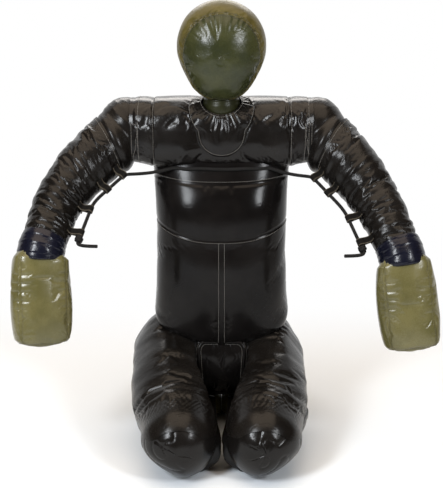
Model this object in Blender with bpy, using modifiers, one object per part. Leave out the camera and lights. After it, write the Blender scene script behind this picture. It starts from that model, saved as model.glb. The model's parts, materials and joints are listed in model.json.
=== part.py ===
"""Grappling dummy, kneeling on its shins.

Sewn vinyl covers hold stuffed forms. A limb ends in a ball that sits in the open sleeve of the
limb before it, so every bend turns about the centre of a ball. A drawcord runs across the chest
and through webbing loops on the inner side of both arms.

Metres, +Z up. The dummy faces -Y, so its own left is at +X.
"""
import math

import bmesh
import bpy
from mathutils import Matrix, Vector

# Vinyl and fits
WALL = 0.0025            # vinyl with its lining
FIT = 0.0004             # gap between pieces that touch
FILL_GAP = 0.0008        # cover to stuffing
FILL_TAPER = 0.95        # leg stuffing draws in at its open end
SEAM_GAP = 0.0014        # between two panels at a seam
SLEEVE_GAP = 0.0010      # ball to the sleeve round it
FLOOR_CUT = 0.0005       # depth of the flats that rest on the floor

# Kneeling pose: the seat rests on the feet
FOOT_HEIGHT = 0.070
SEAT_RADIUS = 0.125      # seat and crotch are a drum round the hip axis
HIP_Y = 0.020
CROTCH_HALF_WIDTH = 0.063
HIP_SPREAD = 0.118
HIP_RADIUS = 0.100
KNEE_SPREAD = 0.098
KNEE_Y = -0.305
KNEE_RADIUS = 0.086
LEG_GAP = 0.003          # between the two knees
THIGHS_PART = 0.129      # run along the thigh, just past the seat, before the thighs close in
KNEES_MEET = 0.236       # run along the thigh where the knees are together
CREASE_GAP = 0.016       # thigh to belly hem, room for the hip to fold further

# Lower legs and feet
CALF_HALF_WIDTH = 0.098
CALF_SPREAD = 0.124
SHIN_LENGTH = 0.300
CALF_FULL = 0.70         # share of the calf that keeps its full height
ANKLE_SPREAD = 0.072
ANKLE_HALF_WIDTH = 0.052
ANKLE_BALL = 0.026
TOE_SPREAD = 0.052
FOOT_LENGTH = 0.235
FOOT_HALF_WIDTH = 0.047

# Trunk
TRUNK_RISE = 0.562       # hip axis to shoulder axis
HIP_HALF_WIDTH = 0.164
WAIST_HALF_WIDTH = 0.156
CHEST_HALF_WIDTH = 0.166
HIP_HALF_DEPTH = 0.118
WAIST_HALF_DEPTH = 0.124
CHEST_HALF_DEPTH = 0.060
TRUNK_SQUARENESS = 2.6
CHEST_SEAM_HEIGHT = 0.508
CHEST_SEAM_RISE = 0.022  # the chest seam sags at the centre
CROTCH_RISE = 0.046      # top of the crotch panel above the hip axis
CROTCH_HEM_ANGLE = 55    # bottom of the crotch panel, degrees below straight ahead
SEAT_HEM_ANGLE = 219     # where the seat panel meets the back panel

# Shoulder yoke and collar
YOKE_HALF_LENGTH = 0.217
YOKE_HALF_HEIGHT = 0.080
YOKE_HALF_DEPTH = 0.105
YOKE_SQUARENESS = 2.5
SHOULDER_SPREAD = 0.232
SHOULDER_BALL = 0.0745
BIB_HALF_WIDTH = 0.078
BIB_HALF_LENGTH = 0.086
BIB_DROP = 0.030         # bib centre below the neck, along the yoke
BIB_GAP = 0.0021
BIB_WALL = 0.002

# Neck and head
NECK_Y = -0.050
NECK_RISE = 0.058        # neck ball above the shoulder axis
NECK_BALL = 0.045
NECK_RADIUS = 0.039
NECK_LENGTH = 0.056
HEAD_RISE = 0.201        # widest part of the head above the shoulder axis
HEAD_Y = -0.066
HEAD_HALF_WIDTH = 0.1035
HEAD_CROWN = 0.102
HEAD_CHIN = 0.120
HEAD_HALF_DEPTH = 0.092
FACE_SEAM_ANGLE = 62     # face panel's edge, degrees round from the middle of the face

# Arms
UPPER_ARM_LENGTH = 0.210
UPPER_ARM_RADIUS = 0.068
ELBOW_RADIUS = 0.0595
FOREARM_LENGTH = 0.182
WRIST_RADIUS = 0.050
WRIST_BALL = 0.038
ARM_SEAM_OUTER = 0.045   # arm cover's start, from the shoulder ball's centre
ARM_SEAM_INNER = 0.094
ELBOW_SETBACK = 0.030    # open sleeve ends this far behind the ball's centre
WRIST_SETBACK = 0.022
TAPE_LENGTH = 0.034
TAPE_WALL = 0.002
MITT_LENGTH = 0.216
MITT_MOUTH = 0.016       # cover's open end, past the wrist ball's centre
CUFF_HALF_DEPTH = 0.045
MITT_HALF_WIDTH = 0.064
MITT_HALF_DEPTH = 0.043
MITT_SQUARENESS = 3.6

# Each arm's rest pose: degrees forward from straight out, and degrees down
ARM_POSE = {
    "right": {"upper": (37, 36), "fore": (71, 45), "hand": (97, 79), "mitt_turn": 20},
    "left": {"upper": (42, 39), "fore": (63, 47), "hand": (56, 78), "mitt_turn": 2},
}

# Drawcord and its webbing loops
CORD_RADIUS = 0.004
LOOP_WIDTH = 0.016
LOOP_LENGTH = 0.034
LOOP_HALF_SPAN = 0.009
LOOP_WALL = 0.0022
UPPER_LOOPS = (0.112, 0.158)   # stations along the upper arm
FORE_LOOPS = (0.052, 0.118)    # stations along the forearm
TAIL_LENGTH = 0.050
CHEST_CORD_ANGLE = 38    # cord bears on the chest this far to each side of the middle
KNOT_SWELL = 2.1

# Facets
LEG_SIDES = 16
ARM_SIDES = 12
TRUNK_SIDES = 32
YOKE_SIDES = 16
HEAD_SIDES = 16
BALL_SIDES = 28          # shoulder balls and the neck's socket
DOME_ROWS = 4
CORD_BEVEL = 2

# Worked out
TAU = 2 * math.pi
SIDES = {"right": -1, "left": 1}
HIP_Z = FOOT_HEIGHT + FIT + SEAT_RADIUS
KNEE_Z = KNEE_RADIUS - FLOOR_CUT
SHOULDER_Z = HIP_Z + TRUNK_RISE
NECK_Z = SHOULDER_Z + NECK_RISE
HEAD_Z = SHOULDER_Z + HEAD_RISE
TRUNK_TOP = SHOULDER_Z - YOKE_HALF_HEIGHT - FIT
TRUNK_BASE = HIP_Z + HIP_RADIUS + FIT
LINING = WALL + FILL_GAP
FOREARM_BALL = (ELBOW_RADIUS - WALL - SLEEVE_GAP) * math.cos(math.pi / ARM_SIDES)
HOOD_RADIUS = (KNEE_RADIUS + SLEEVE_GAP) / math.cos(math.pi / LEG_SIDES) + WALL


def clear_scene():
    """Remove everything that the opened file holds."""
    for obj in list(bpy.data.objects):
        bpy.data.objects.remove(obj, do_unlink=True)


def finish(name, colour, roughness):
    """A plain vinyl, webbing or stuffing material."""
    material = bpy.data.materials.new(name)
    material.use_nodes = True
    shader = material.node_tree.nodes["Principled BSDF"]
    shader.inputs["Base Color"].default_value = (*colour, 1.0)
    shader.inputs["Roughness"].default_value = roughness
    shader.inputs["Metallic"].default_value = 0.0
    return material


def heading(side, reach, drop):
    """Unit vector from straight out to the side, turned forward by reach and down by drop."""
    reach = math.radians(reach)
    drop = math.radians(drop)
    level = math.cos(drop)
    return Vector((SIDES[side] * level * math.cos(reach), -level * math.sin(reach), -math.sin(drop)))


def limb_frame(origin, along, across):
    """Matrix at a joint, with local X along the limb and local Y nearest to across."""
    x_axis = along.normalized()
    z_axis = x_axis.cross(across).normalized()
    y_axis = z_axis.cross(x_axis)
    matrix = Matrix((x_axis, y_axis, z_axis)).transposed().to_4x4()
    matrix.translation = origin
    return matrix


def quad(first, middle, last, share):
    """Smooth value through three sizes, at shares 0, 0.5 and 1."""
    return first + (last - first) * share + (4 * middle - 2 * first - 2 * last) * share * (1 - share)


def lerp(first, last, share):
    return first + (last - first) * share


def power(value, exponent):
    """Power that keeps the sign, for rounded-square sections."""
    return math.copysign(abs(value) ** exponent, value)


def section(half_y, half_z, angle, squareness=2.0):
    """Point on a rounded-square section."""
    exponent = 2 / squareness
    return half_y * power(math.cos(angle), exponent), half_z * power(math.sin(angle), exponent)


def dome(radius, rows, last_angle=90):
    """Stations (along, radius) of a ball's end, from its pole forward."""
    angles = [math.radians(last_angle) * i / rows for i in range(rows + 1)]
    return [(-radius * math.cos(a), radius * math.sin(a)) for a in angles]


class Dummy:
    """The parts, their bodies and the cutters."""

    def __init__(self):
        self.parts = bpy.data.collections.new("grappling_dummy")
        self.cutters = bpy.data.collections.new("grappling_dummy_cutters")
        self.guides = bpy.data.collections.new("grappling_dummy_joints")
        for collection in (self.parts, self.cutters, self.guides):
            bpy.context.scene.collection.children.link(collection)
        self.bodies = {}
        self.places = {}

    def body(self, name, matrix, parent=None):
        """An empty on the body's joint axis, under its parent's empty."""
        empty = bpy.data.objects.new(name + "_joint", None)
        self.guides.objects.link(empty)
        if parent:
            empty.parent = self.bodies[parent]
            matrix_in_parent = self.places[parent].inverted() @ matrix
        else:
            matrix_in_parent = matrix
        empty.matrix_basis = matrix_in_parent
        self.bodies[name] = empty
        self.places[name] = matrix

    def add(self, name, body, mesh, material):
        """A part under its body's empty; the mesh comes in the dummy's own frame."""
        mesh.transform(self.places[body].inverted())
        mesh.materials.append(material)
        mesh.shade_smooth()
        mesh.set_sharp_from_angle(angle=math.radians(40))
        obj = bpy.data.objects.new(name, mesh)
        obj.parent = self.bodies[body]
        self.parts.objects.link(obj)
        return obj

    def shell(self, name, body, mesh, material, wall=WALL):
        """A cover: an open surface with its wall grown inwards."""
        obj = self.add(name, body, mesh, material)
        modifier = obj.modifiers.new("wall", "SOLIDIFY")
        modifier.thickness = wall
        modifier.offset = -1.0
        return obj

    def stuffed(self, name, body, mesh, material):
        """Stuffing: the cover's own closed form, drawn in by the wall and a gap."""
        obj = self.add(name, body, mesh, material)
        modifier = obj.modifiers.new("lining", "DISPLACE")
        modifier.strength = -LINING
        modifier.mid_level = 0.0
        return obj

    def ball_cutter(self, name, centre, radius, sides):
        """A ball that cuts a socket, sized so that its flats clear a ball of the given radius."""
        mesh = bpy.data.meshes.new(name)
        work = bmesh.new()
        flats = math.cos(math.pi / sides) ** 2
        bmesh.ops.create_uvsphere(work, u_segments=sides, v_segments=sides // 2,
                                  radius=(radius + FIT) / flats)
        work.to_mesh(mesh)
        work.free()
        mesh.transform(Matrix.Translation(centre))
        return self.cutter(name, mesh)

    def bore_cutter(self, name, centre, radius, depth, sides):
        """An upright round cutter, centred on its middle."""
        mesh = bpy.data.meshes.new(name)
        work = bmesh.new()
        bmesh.ops.create_cone(work, cap_ends=True, segments=sides, radius1=radius, radius2=radius,
                              depth=depth)
        work.to_mesh(mesh)
        work.free()
        mesh.transform(Matrix.Translation(centre))
        return self.cutter(name, mesh)

    def cutter(self, name, mesh):
        obj = bpy.data.objects.new(name, mesh)
        obj.hide_render = True
        obj.display_type = "WIRE"
        obj.parent = self.bodies["torso"]
        self.cutters.objects.link(obj)
        return obj

    def cut(self, obj, cutter):
        modifier = obj.modifiers.new(cutter.name, "BOOLEAN")
        modifier.operation = "DIFFERENCE"
        modifier.solver = "EXACT"
        modifier.object = cutter


def wrap(name, columns, rows, place):
    """A grid laid on a surface: place takes shares round and along, and seams and poles close up."""
    work = bmesh.new()
    bmesh.ops.create_grid(work, x_segments=columns, y_segments=rows, size=0.5)
    for vertex in work.verts:
        round_share = vertex.co.x + 0.5
        along_share = vertex.co.y + 0.5
        vertex.co = place(round_share, along_share)
    bmesh.ops.remove_doubles(work, verts=work.verts, dist=1e-6)
    bmesh.ops.dissolve_degenerate(work, dist=1e-7, edges=work.edges)
    bmesh.ops.triangulate(work, faces=work.faces, quad_method="SHORT_EDGE")
    mesh = bpy.data.meshes.new(name)
    work.to_mesh(mesh)
    work.free()
    return mesh


def loft(name, columns, stations, point, phase=0.0):
    """Rings round a limb, one for each station; point takes a station and an angle.

    A phase of half a column lays one flat facet underneath.
    """
    rows = len(stations) - 1

    def place(round_share, along_share):
        return point(stations[round(along_share * rows)], TAU * (round_share + phase / columns))

    return wrap(name, columns, rows, place)


def tube(dummy, name, body, points, material, radii=None):
    """A cord stretch along its points, with filled ends."""
    curve = bpy.data.curves.new(name, "CURVE")
    curve.dimensions = "3D"
    curve.bevel_depth = CORD_RADIUS
    curve.bevel_resolution = CORD_BEVEL
    curve.use_fill_caps = True
    curve.materials.append(material)
    spline = curve.splines.new("POLY")
    spline.points.add(len(points) - 1)
    inverse = dummy.places[body].inverted()
    for index, place in enumerate(points):
        spline.points[index].co = (*(inverse @ place), 1.0)
        spline.points[index].radius = radii[index] if radii else 1.0
    spline.use_smooth = True
    obj = bpy.data.objects.new(name, curve)
    obj.parent = dummy.bodies[body]
    dummy.parts.objects.link(obj)


def yoke_section(x):
    """Half depth and half height of the yoke, round at its open ends."""
    share = min(1.0, abs(x) / YOKE_HALF_LENGTH) ** 2
    return lerp(YOKE_HALF_DEPTH, YOKE_HALF_HEIGHT, share), YOKE_HALF_HEIGHT


def yoke_point(x, angle, grow=0.0):
    half_depth, half_height = yoke_section(x)
    y, z = section(half_depth + grow, half_height + grow, angle, YOKE_SQUARENESS)
    return Vector((x, y, SHOULDER_Z + z))


def trunk_point(angle, z, inset=0.0):
    """Point on the trunk's outer surface; angle 0 is at +X and -90 degrees is the front."""
    share = (z - HIP_Z) / TRUNK_RISE
    half_width = quad(HIP_HALF_WIDTH, WAIST_HALF_WIDTH, CHEST_HALF_WIDTH, share) - inset
    half_depth = quad(HIP_HALF_DEPTH, WAIST_HALF_DEPTH, CHEST_HALF_DEPTH, share) - inset
    x, y = section(half_width, half_depth, angle, TRUNK_SQUARENESS)
    return Vector((x, y, z))


def chest_seam(angle):
    """Height of the seam under the chest, lowest at the centre."""
    return CHEST_SEAM_HEIGHT + CHEST_SEAM_RISE * math.cos(angle) ** 2


def thigh_slope():
    return (HIP_Z - KNEE_Z) / (HIP_Y - KNEE_Y)


def hem(angle):
    """Lower edge of the trunk panels: over the thighs, and down to the crotch panel between them."""
    place = trunk_point(angle, TRUNK_BASE)
    reach = HIP_RADIUS + CREASE_GAP
    back = place.y - HIP_Y
    if back > 0:
        if abs(place.x) < CROTCH_HALF_WIDTH + 2 * CREASE_GAP:
            return HIP_Z - SEAT_RADIUS * math.sin(math.radians(SEAT_HEM_ANGLE)) + SEAM_GAP
        return HIP_Z + math.sqrt(max(0.0, reach ** 2 - back ** 2))
    if abs(place.x) < CROTCH_HALF_WIDTH:
        return HIP_Z + CROTCH_RISE + SEAM_GAP
    slope = thigh_slope()
    return HIP_Z + reach * math.sqrt(1 + slope ** 2) + back * slope


def neck_point(station, angle):
    """Point round the upright neck; stations hold the height above the neck ball and the radius."""
    height, radius = station
    return Vector((radius * math.cos(angle), NECK_Y + radius * math.sin(angle), NECK_Z + height))


def build_yoke(dummy, black, stuffing):
    mesh = wrap("yoke_cover", YOKE_SIDES, 6,
                lambda u, w: yoke_point(lerp(-YOKE_HALF_LENGTH, YOKE_HALF_LENGTH, w), TAU * u))
    cover = dummy.shell("yoke_cover", "torso", mesh, black)
    end = SHOULDER_SPREAD - SHOULDER_BALL - FIT
    stations = [(-end, 0.0)] + [(lerp(-end, end, i / 6), 1.0) for i in range(7)] + [(end, 0.0)]

    def fill_point(station, angle):
        place = yoke_point(station[0], angle, -LINING)
        centre = Vector((station[0], 0.0, SHOULDER_Z))
        return centre.lerp(place, station[1])

    fill = dummy.add("yoke_fill", "torso", loft("yoke_fill", YOKE_SIDES, stations, fill_point), stuffing)

    def bib_place(u, w):
        share = lerp(0.25, 1.0, w)
        angle = -TAU * u
        top = math.radians(90) + math.asin(-NECK_Y / YOKE_HALF_DEPTH)
        arc = BIB_DROP - BIB_HALF_LENGTH * share * math.sin(angle)
        return yoke_point(BIB_HALF_WIDTH * share * math.cos(angle), top + arc / YOKE_HALF_HEIGHT,
                          BIB_GAP + BIB_WALL)

    bib = dummy.shell("collar_bib", "torso", wrap("collar_bib", 16, 3, bib_place), black, BIB_WALL)
    radius = (NECK_BALL + FIT) / math.cos(math.pi / BALL_SIDES) ** 2
    stations = dome(radius, BALL_SIDES // 4) + [(YOKE_HALF_HEIGHT, radius), (YOKE_HALF_HEIGHT, 0.0)]
    room = dummy.cutter("neck_room", loft("neck_room", BALL_SIDES, stations, neck_point))
    for obj in (cover, fill, bib):
        dummy.cut(obj, room)


def build_trunk(dummy, black, stuffing):
    seam = SEAM_GAP / 2
    side_angle = math.asin(seam / WAIST_HALF_DEPTH) * 2

    def panel(name, first, last, columns, rows, low, high):
        def place(u, w):
            angle = lerp(first, last, u)
            return trunk_point(angle, lerp(low(angle), high(angle), w))
        dummy.shell(name, "torso", wrap(name, columns, rows, place), black)

    half = math.pi
    quarter = math.pi / 2
    columns = TRUNK_SIDES // 2
    panel("chest_panel", -half + side_angle, -side_angle, columns, 4,
          lambda a: chest_seam(a) + seam, lambda a: TRUNK_TOP)
    panel("belly_panel_right", -half + side_angle, -quarter - side_angle, columns // 2, 5,
          hem, lambda a: chest_seam(a) - seam)
    panel("belly_panel_left", -quarter + side_angle, -side_angle, columns // 2, 5,
          hem, lambda a: chest_seam(a) - seam)
    panel("back_panel", side_angle, half - side_angle, columns, 7, hem, lambda a: TRUNK_TOP)

    rows = 6
    heights = [lerp(TRUNK_BASE, TRUNK_TOP, i / rows) for i in range(rows + 1)]
    stations = [(TRUNK_BASE, 0.0)] + [(z, 1.0) for z in heights] + [(TRUNK_TOP, 0.0)]

    def fill_point(station, angle):
        centre = Vector((0.0, 0.0, station[0]))
        return centre.lerp(trunk_point(angle, station[0], LINING), station[1])

    dummy.add("trunk_fill", "torso", loft("trunk_fill", TRUNK_SIDES // 2, stations, fill_point), stuffing)

    def seat_place(x, angle, radius):
        """Point on the seat drum; angle 0 is straight ahead and grows downwards."""
        return Vector((x, HIP_Y - radius * math.cos(angle), HIP_Z - radius * math.sin(angle)))

    def seat_panel(name, first, last, rows):
        def place(u, w):
            x = lerp(-CROTCH_HALF_WIDTH, CROTCH_HALF_WIDTH, u)
            return seat_place(x, lerp(last, first, w), SEAT_RADIUS)
        dummy.shell(name, "torso", wrap(name, 4, rows, place), black)

    top = -math.asin(CROTCH_RISE / SEAT_RADIUS)
    bottom = math.radians(CROTCH_HEM_ANGLE)
    split = SEAM_GAP / SEAT_RADIUS
    seat_panel("crotch_panel", top, bottom, 6)
    seat_panel("seat_panel", bottom + split, math.radians(SEAT_HEM_ANGLE), 13)
    ends = [(-CROTCH_HALF_WIDTH, 0.0), (-CROTCH_HALF_WIDTH, 1.0), (CROTCH_HALF_WIDTH, 1.0),
            (CROTCH_HALF_WIDTH, 0.0)]

    def core_point(station, angle):
        place = seat_place(station[0], angle, (SEAT_RADIUS - LINING) * station[1])
        place.z = min(place.z, TRUNK_BASE - FIT)
        return place

    dummy.add("seat_fill", "torso", loft("seat_fill", 24, ends, core_point), stuffing)


def build_head(dummy, olive, stuffing):
    centre = Vector((0.0, HEAD_Y, HEAD_Z))

    def head_point(angle, turn, inset=0.0):
        """Egg outline seen from the front at angle; turn runs from the face to the back."""
        size = math.sin(turn)
        tall = HEAD_CROWN if math.sin(angle) > 0 else HEAD_CHIN
        x = (HEAD_HALF_WIDTH - inset) * size * math.cos(angle)
        z = (tall - inset) * size * math.sin(angle)
        return centre + Vector((x, -(HEAD_HALF_DEPTH - inset) * math.cos(turn), z))

    bore = dummy.bore_cutter("neck_bore", Vector((0, NECK_Y, NECK_Z + NECK_LENGTH - HEAD_CROWN + FIT)),
                             (NECK_RADIUS + FIT) / math.cos(math.pi / HEAD_SIDES), 2 * HEAD_CROWN,
                             HEAD_SIDES)
    seam = SEAM_GAP / HEAD_HALF_DEPTH / 2
    face = math.radians(FACE_SEAM_ANGLE)
    panels = (("face_panel", 0.0, face - seam, 3), ("head_band", face + seam, math.pi - face - seam, 3),
              ("head_back_panel", math.pi - face + seam, math.pi, 3))
    for name, first, last, rows in panels:
        mesh = wrap(name, HEAD_SIDES, rows,
                    lambda u, w, first=first, last=last: head_point(-TAU * u, lerp(first, last, w)))
        dummy.cut(dummy.shell(name, "head", mesh, olive), bore)
    turns = [face * i / 3 for i in range(3)] + [lerp(face, math.pi - face, i / 3) for i in range(3)]
    turns += [lerp(math.pi - face, math.pi, i / 3) for i in range(4)]
    mesh = loft("head_fill", HEAD_SIDES, turns, lambda turn, angle: head_point(-angle, turn, LINING))
    dummy.cut(dummy.add("head_fill", "head", mesh, stuffing), bore)

    def neck_stations(inset):
        narrow = 180 - math.degrees(math.asin(NECK_RADIUS / NECK_BALL))
        ball = dome(NECK_BALL - inset, 7, narrow)
        return ball, [(NECK_LENGTH, NECK_RADIUS - inset)]

    ball, top = neck_stations(0.0)
    dummy.shell("neck_sleeve", "neck", loft("neck_sleeve", HEAD_SIDES, ball[2:] + top, neck_point), olive)
    ball, top = neck_stations(LINING)
    stations = ball + top + [(NECK_LENGTH, 0.0)]
    dummy.add("neck_fill", "neck", loft("neck_fill", HEAD_SIDES, stations, neck_point), stuffing)


def arm_frames(side):
    """Joint frames of one arm: shoulder, upper arm, forearm and mitt."""
    pose = ARM_POSE[side]
    shoulder = Vector((SIDES[side] * SHOULDER_SPREAD, 0.0, SHOULDER_Z))
    upper = heading(side, *pose["upper"])
    fore = heading(side, *pose["fore"])
    hand = heading(side, *pose["hand"])
    turn = math.radians(pose["mitt_turn"])
    width_axis = Vector((math.cos(turn), -SIDES[side] * math.sin(turn), 0.0))
    bend_axis = upper.cross(fore).normalized()
    elbow = shoulder + upper * UPPER_ARM_LENGTH
    wrist = elbow + fore * FOREARM_LENGTH
    return {"shoulder": Matrix.Translation(shoulder),
            "upper_arm": limb_frame(shoulder, upper, bend_axis),
            "forearm": limb_frame(elbow, fore, bend_axis),
            "mitt": limb_frame(wrist, hand, width_axis)}


def upper_arm_radius(along):
    return lerp(UPPER_ARM_RADIUS, ELBOW_RADIUS, along / UPPER_ARM_LENGTH)


def forearm_radius(along):
    return lerp(FOREARM_BALL, WRIST_RADIUS, max(0.0, along) / FOREARM_LENGTH)


def build_arm(dummy, side, black, olive, tape, stuffing):
    frames = arm_frames(side)
    place = frames["upper_arm"]
    dummy.body("shoulder_" + side, frames["shoulder"], "torso")
    dummy.body("upper_arm_" + side, place, "shoulder_" + side)
    dummy.body("forearm_" + side, frames["forearm"], "upper_arm_" + side)
    dummy.body("mitt_" + side, frames["mitt"], "forearm_" + side)

    def ring(matrix):
        def point(station, angle):
            y, z = section(station[1], station[1], angle)
            return matrix @ Vector((station[0], y, z))
        return point

    name = "shoulder_cap_" + side
    cap = loft(name, BALL_SIDES, dome(SHOULDER_BALL, BALL_SIDES // 2, 180), ring(frames["shoulder"]))
    dummy.add(name, "shoulder_" + side, cap, black)

    def upper_cover(u, w):
        angle = TAU * u
        inner = 0.5 - 0.5 * math.sin(angle)
        start = lerp(ARM_SEAM_OUTER, ARM_SEAM_INNER, inner)
        along = lerp(start, UPPER_ARM_LENGTH - ELBOW_SETBACK, w)
        y, z = section(upper_arm_radius(along), upper_arm_radius(along), angle)
        return place @ Vector((along, y, z))

    name = "upper_arm_cover_" + side
    dummy.shell(name, "upper_arm_" + side, wrap(name, ARM_SIDES, 4, upper_cover), black)
    start = SHOULDER_BALL + FIT
    end = UPPER_ARM_LENGTH - FOREARM_BALL - FIT
    alongs = [lerp(start, end, i / 3) for i in range(4)]
    stations = [(start, 0.0)] + [(s, upper_arm_radius(s) - LINING) for s in alongs] + [(end, 0.0)]
    name = "upper_arm_fill_" + side
    dummy.add(name, "upper_arm_" + side, loft(name, ARM_SIDES, stations, ring(place)), stuffing)

    place = frames["forearm"]
    end = FOREARM_LENGTH - WRIST_SETBACK
    alongs = [end * (i + 1) / 4 for i in range(4)]
    stations = dome(FOREARM_BALL, DOME_ROWS) + [(s, forearm_radius(s)) for s in alongs]
    name = "forearm_cover_" + side
    dummy.shell(name, "forearm_" + side, loft(name, ARM_SIDES, stations, ring(place)), black)
    stations = dome(FOREARM_BALL - LINING, DOME_ROWS)
    stations += [(s, forearm_radius(s) - LINING) for s in alongs]
    stations.append((end, 0.0))
    name = "forearm_fill_" + side
    fill = dummy.add(name, "forearm_" + side, loft(name, ARM_SIDES, stations, ring(place)), stuffing)
    socket = dummy.ball_cutter("wrist_socket_" + side, frames["mitt"].translation, WRIST_BALL, ARM_SIDES)
    dummy.cut(fill, socket)
    start = end - TAPE_LENGTH
    stations = [(s, forearm_radius(start) + FIT + TAPE_WALL) for s in (start, end)]
    name = "wrist_tape_" + side
    dummy.shell(name, "forearm_" + side, loft(name, ARM_SIDES, stations, ring(place)), tape, TAPE_WALL)
    build_mitt(dummy, side, frames, olive, stuffing)


def build_mitt(dummy, side, frames, olive, stuffing):
    """A boxy bag on the wrist ball: stations hold length, half width, half depth, squareness and slant."""
    place = frames["mitt"]
    forearm = place.to_3x3().inverted() @ frames["forearm"].col[0].to_3d()
    mouth = forearm + Vector((1, 0, 0))
    body = [(0.20 * MITT_LENGTH, 0.95, 0.93), (0.50 * MITT_LENGTH, 1.0, 1.0),
            (0.85 * MITT_LENGTH, 0.97, 0.95), (0.97 * MITT_LENGTH, 0.78, 0.70)]
    stations = [(s, w * MITT_HALF_WIDTH, d * MITT_HALF_DEPTH, MITT_SQUARENESS, 0) for s, w, d in body]
    stations.append((MITT_LENGTH, 0.0, 0.0, 2.0, 0))

    def point(station, angle):
        """The mouth is cut on the slant, halfway between the forearm and the hand."""
        along, half_width, half_depth, squareness, slant = station
        y, z = section(half_width, half_depth, angle, squareness)
        along -= slant * (mouth.y * y + mouth.z * z) / mouth.x
        return place @ Vector((along, y, z))

    cuff = (MITT_MOUTH, WRIST_RADIUS, CUFF_HALF_DEPTH, MITT_SQUARENESS, 1)
    name = "mitt_cover_" + side
    dummy.shell(name, "mitt_" + side, loft(name, ARM_SIDES + 4, [cuff] + stations, point), olive)
    ball = [(s, r, r, 2.0, 0) for s, r in dome(WRIST_BALL + LINING, 5, 115)]
    name = "mitt_fill_" + side
    dummy.stuffed(name, "mitt_" + side, loft(name, ARM_SIDES + 4, ball + stations, point), stuffing)


def loop_band(place, along, root):
    """Mesh of one webbing loop that stands out from the arm's inner side, open along the arm."""
    half_run = LOOP_LENGTH / 2 - LOOP_HALF_SPAN

    def band(u, w):
        angle = TAU * u
        y = LOOP_HALF_SPAN * math.cos(angle)
        z = LOOP_HALF_SPAN * math.sin(angle) + math.copysign(half_run, math.sin(angle))
        x = along + LOOP_WIDTH * (w - 0.5)
        return place @ Vector((x, y, z - root - FIT - LOOP_LENGTH / 2))

    return wrap("loop", 12, 1, band)


def cord_depth(root):
    """Cord's centre below the limb's axis, where it bears on the outer end of a loop."""
    return root + FIT + LOOP_LENGTH - LOOP_WALL - FIT - CORD_RADIUS


def cord_bend(run, next_run):
    """Room that the square end of one cord stretch needs beside the next, for the angle between them."""
    return CORD_RADIUS * math.tan(run.angle(next_run)) + FIT


def build_drawcord(dummy, webbing, cord):
    chest_ends = {}
    for side in SIDES:
        frames = arm_frames(side)
        upper = frames["upper_arm"]
        fore = frames["forearm"]
        roots = {"upper_arm": [upper_arm_radius(s - LOOP_WIDTH / 2) for s in UPPER_LOOPS],
                 "forearm": [forearm_radius(s - LOOP_WIDTH / 2) for s in FORE_LOOPS]}
        for limb, place, stations in (("upper_arm", upper, UPPER_LOOPS), ("forearm", fore, FORE_LOOPS)):
            for number, along in enumerate(stations):
                name = "%s_loop_%d_%s" % (limb, number + 1, side)
                band = loop_band(place, along, roots[limb][number])
                dummy.shell(name, limb + "_" + side, band, webbing, LOOP_WALL)
        eyes = [upper @ Vector((s, 0.0, -cord_depth(r))) for s, r in zip(UPPER_LOOPS, roots["upper_arm"])]
        eyes += [fore @ Vector((s, 0.0, -cord_depth(r))) for s, r in zip(FORE_LOOPS, roots["forearm"])]
        clear = LOOP_WIDTH / 2 + CORD_RADIUS
        run = (eyes[1] - eyes[0]).normalized()
        first = eyes[0] - run * clear
        last = eyes[1] + run * clear
        tube(dummy, "arm_cord_" + side, "upper_arm_" + side, [first, last], cord)
        chest_ends[side] = (first, run)
        arm_run = run
        run = (eyes[3] - eyes[2]).normalized()
        first = eyes[2] - run * clear
        across = (first - last).normalized()
        points = [last + across * cord_bend(arm_run, across), first - across * cord_bend(across, run)]
        tube(dummy, "elbow_cord_" + side, "forearm_" + side, points, cord)
        knot = eyes[3] + run * (LOOP_WIDTH / 2 + 2.6 * CORD_RADIUS)
        inward = (fore.to_3x3() @ Vector((0.3, 0.0, -1.0))).normalized()
        points = [first, knot - run * 2.2 * CORD_RADIUS, knot - run * CORD_RADIUS,
                  knot + run * CORD_RADIUS, knot + run * 2.2 * CORD_RADIUS,
                  knot + run * 4 * CORD_RADIUS + inward * CORD_RADIUS,
                  knot + run * 5 * CORD_RADIUS + inward * 0.5 * TAIL_LENGTH,
                  knot + run * 6 * CORD_RADIUS + inward * TAIL_LENGTH]
        radii = [1.0, 1.0, KNOT_SWELL, KNOT_SWELL, 1.0, 1.0, 1.0, 1.0]
        tube(dummy, "tail_cord_" + side, "forearm_" + side, points, cord, radii)

    height = TRUNK_TOP - CORD_RADIUS
    angles = [math.radians(lerp(-CHEST_CORD_ANGLE, CHEST_CORD_ANGLE, i / 8) - 90) for i in range(9)]
    run = [trunk_point(angle, height, -CORD_RADIUS - 2 * FIT) for angle in angles]
    ends = []
    for side, last in (("right", run[0]), ("left", run[-1])):
        first, arm_run = chest_ends[side]
        across = (first - last).normalized()
        ends.append(first - across * cord_bend(across, arm_run))
    tube(dummy, "chest_cord", "torso", [ends[0], *run, ends[1]], cord)


def inner_limit(along):
    """Least distance of a thigh from the middle: clear of the seat beside it, knees together beyond."""
    share = min(1.0, max(0.0, (along - THIGHS_PART) / (KNEES_MEET - THIGHS_PART)))
    return lerp(CROTCH_HALF_WIDTH + 2 * FIT, LEG_GAP / 2, share)


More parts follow.
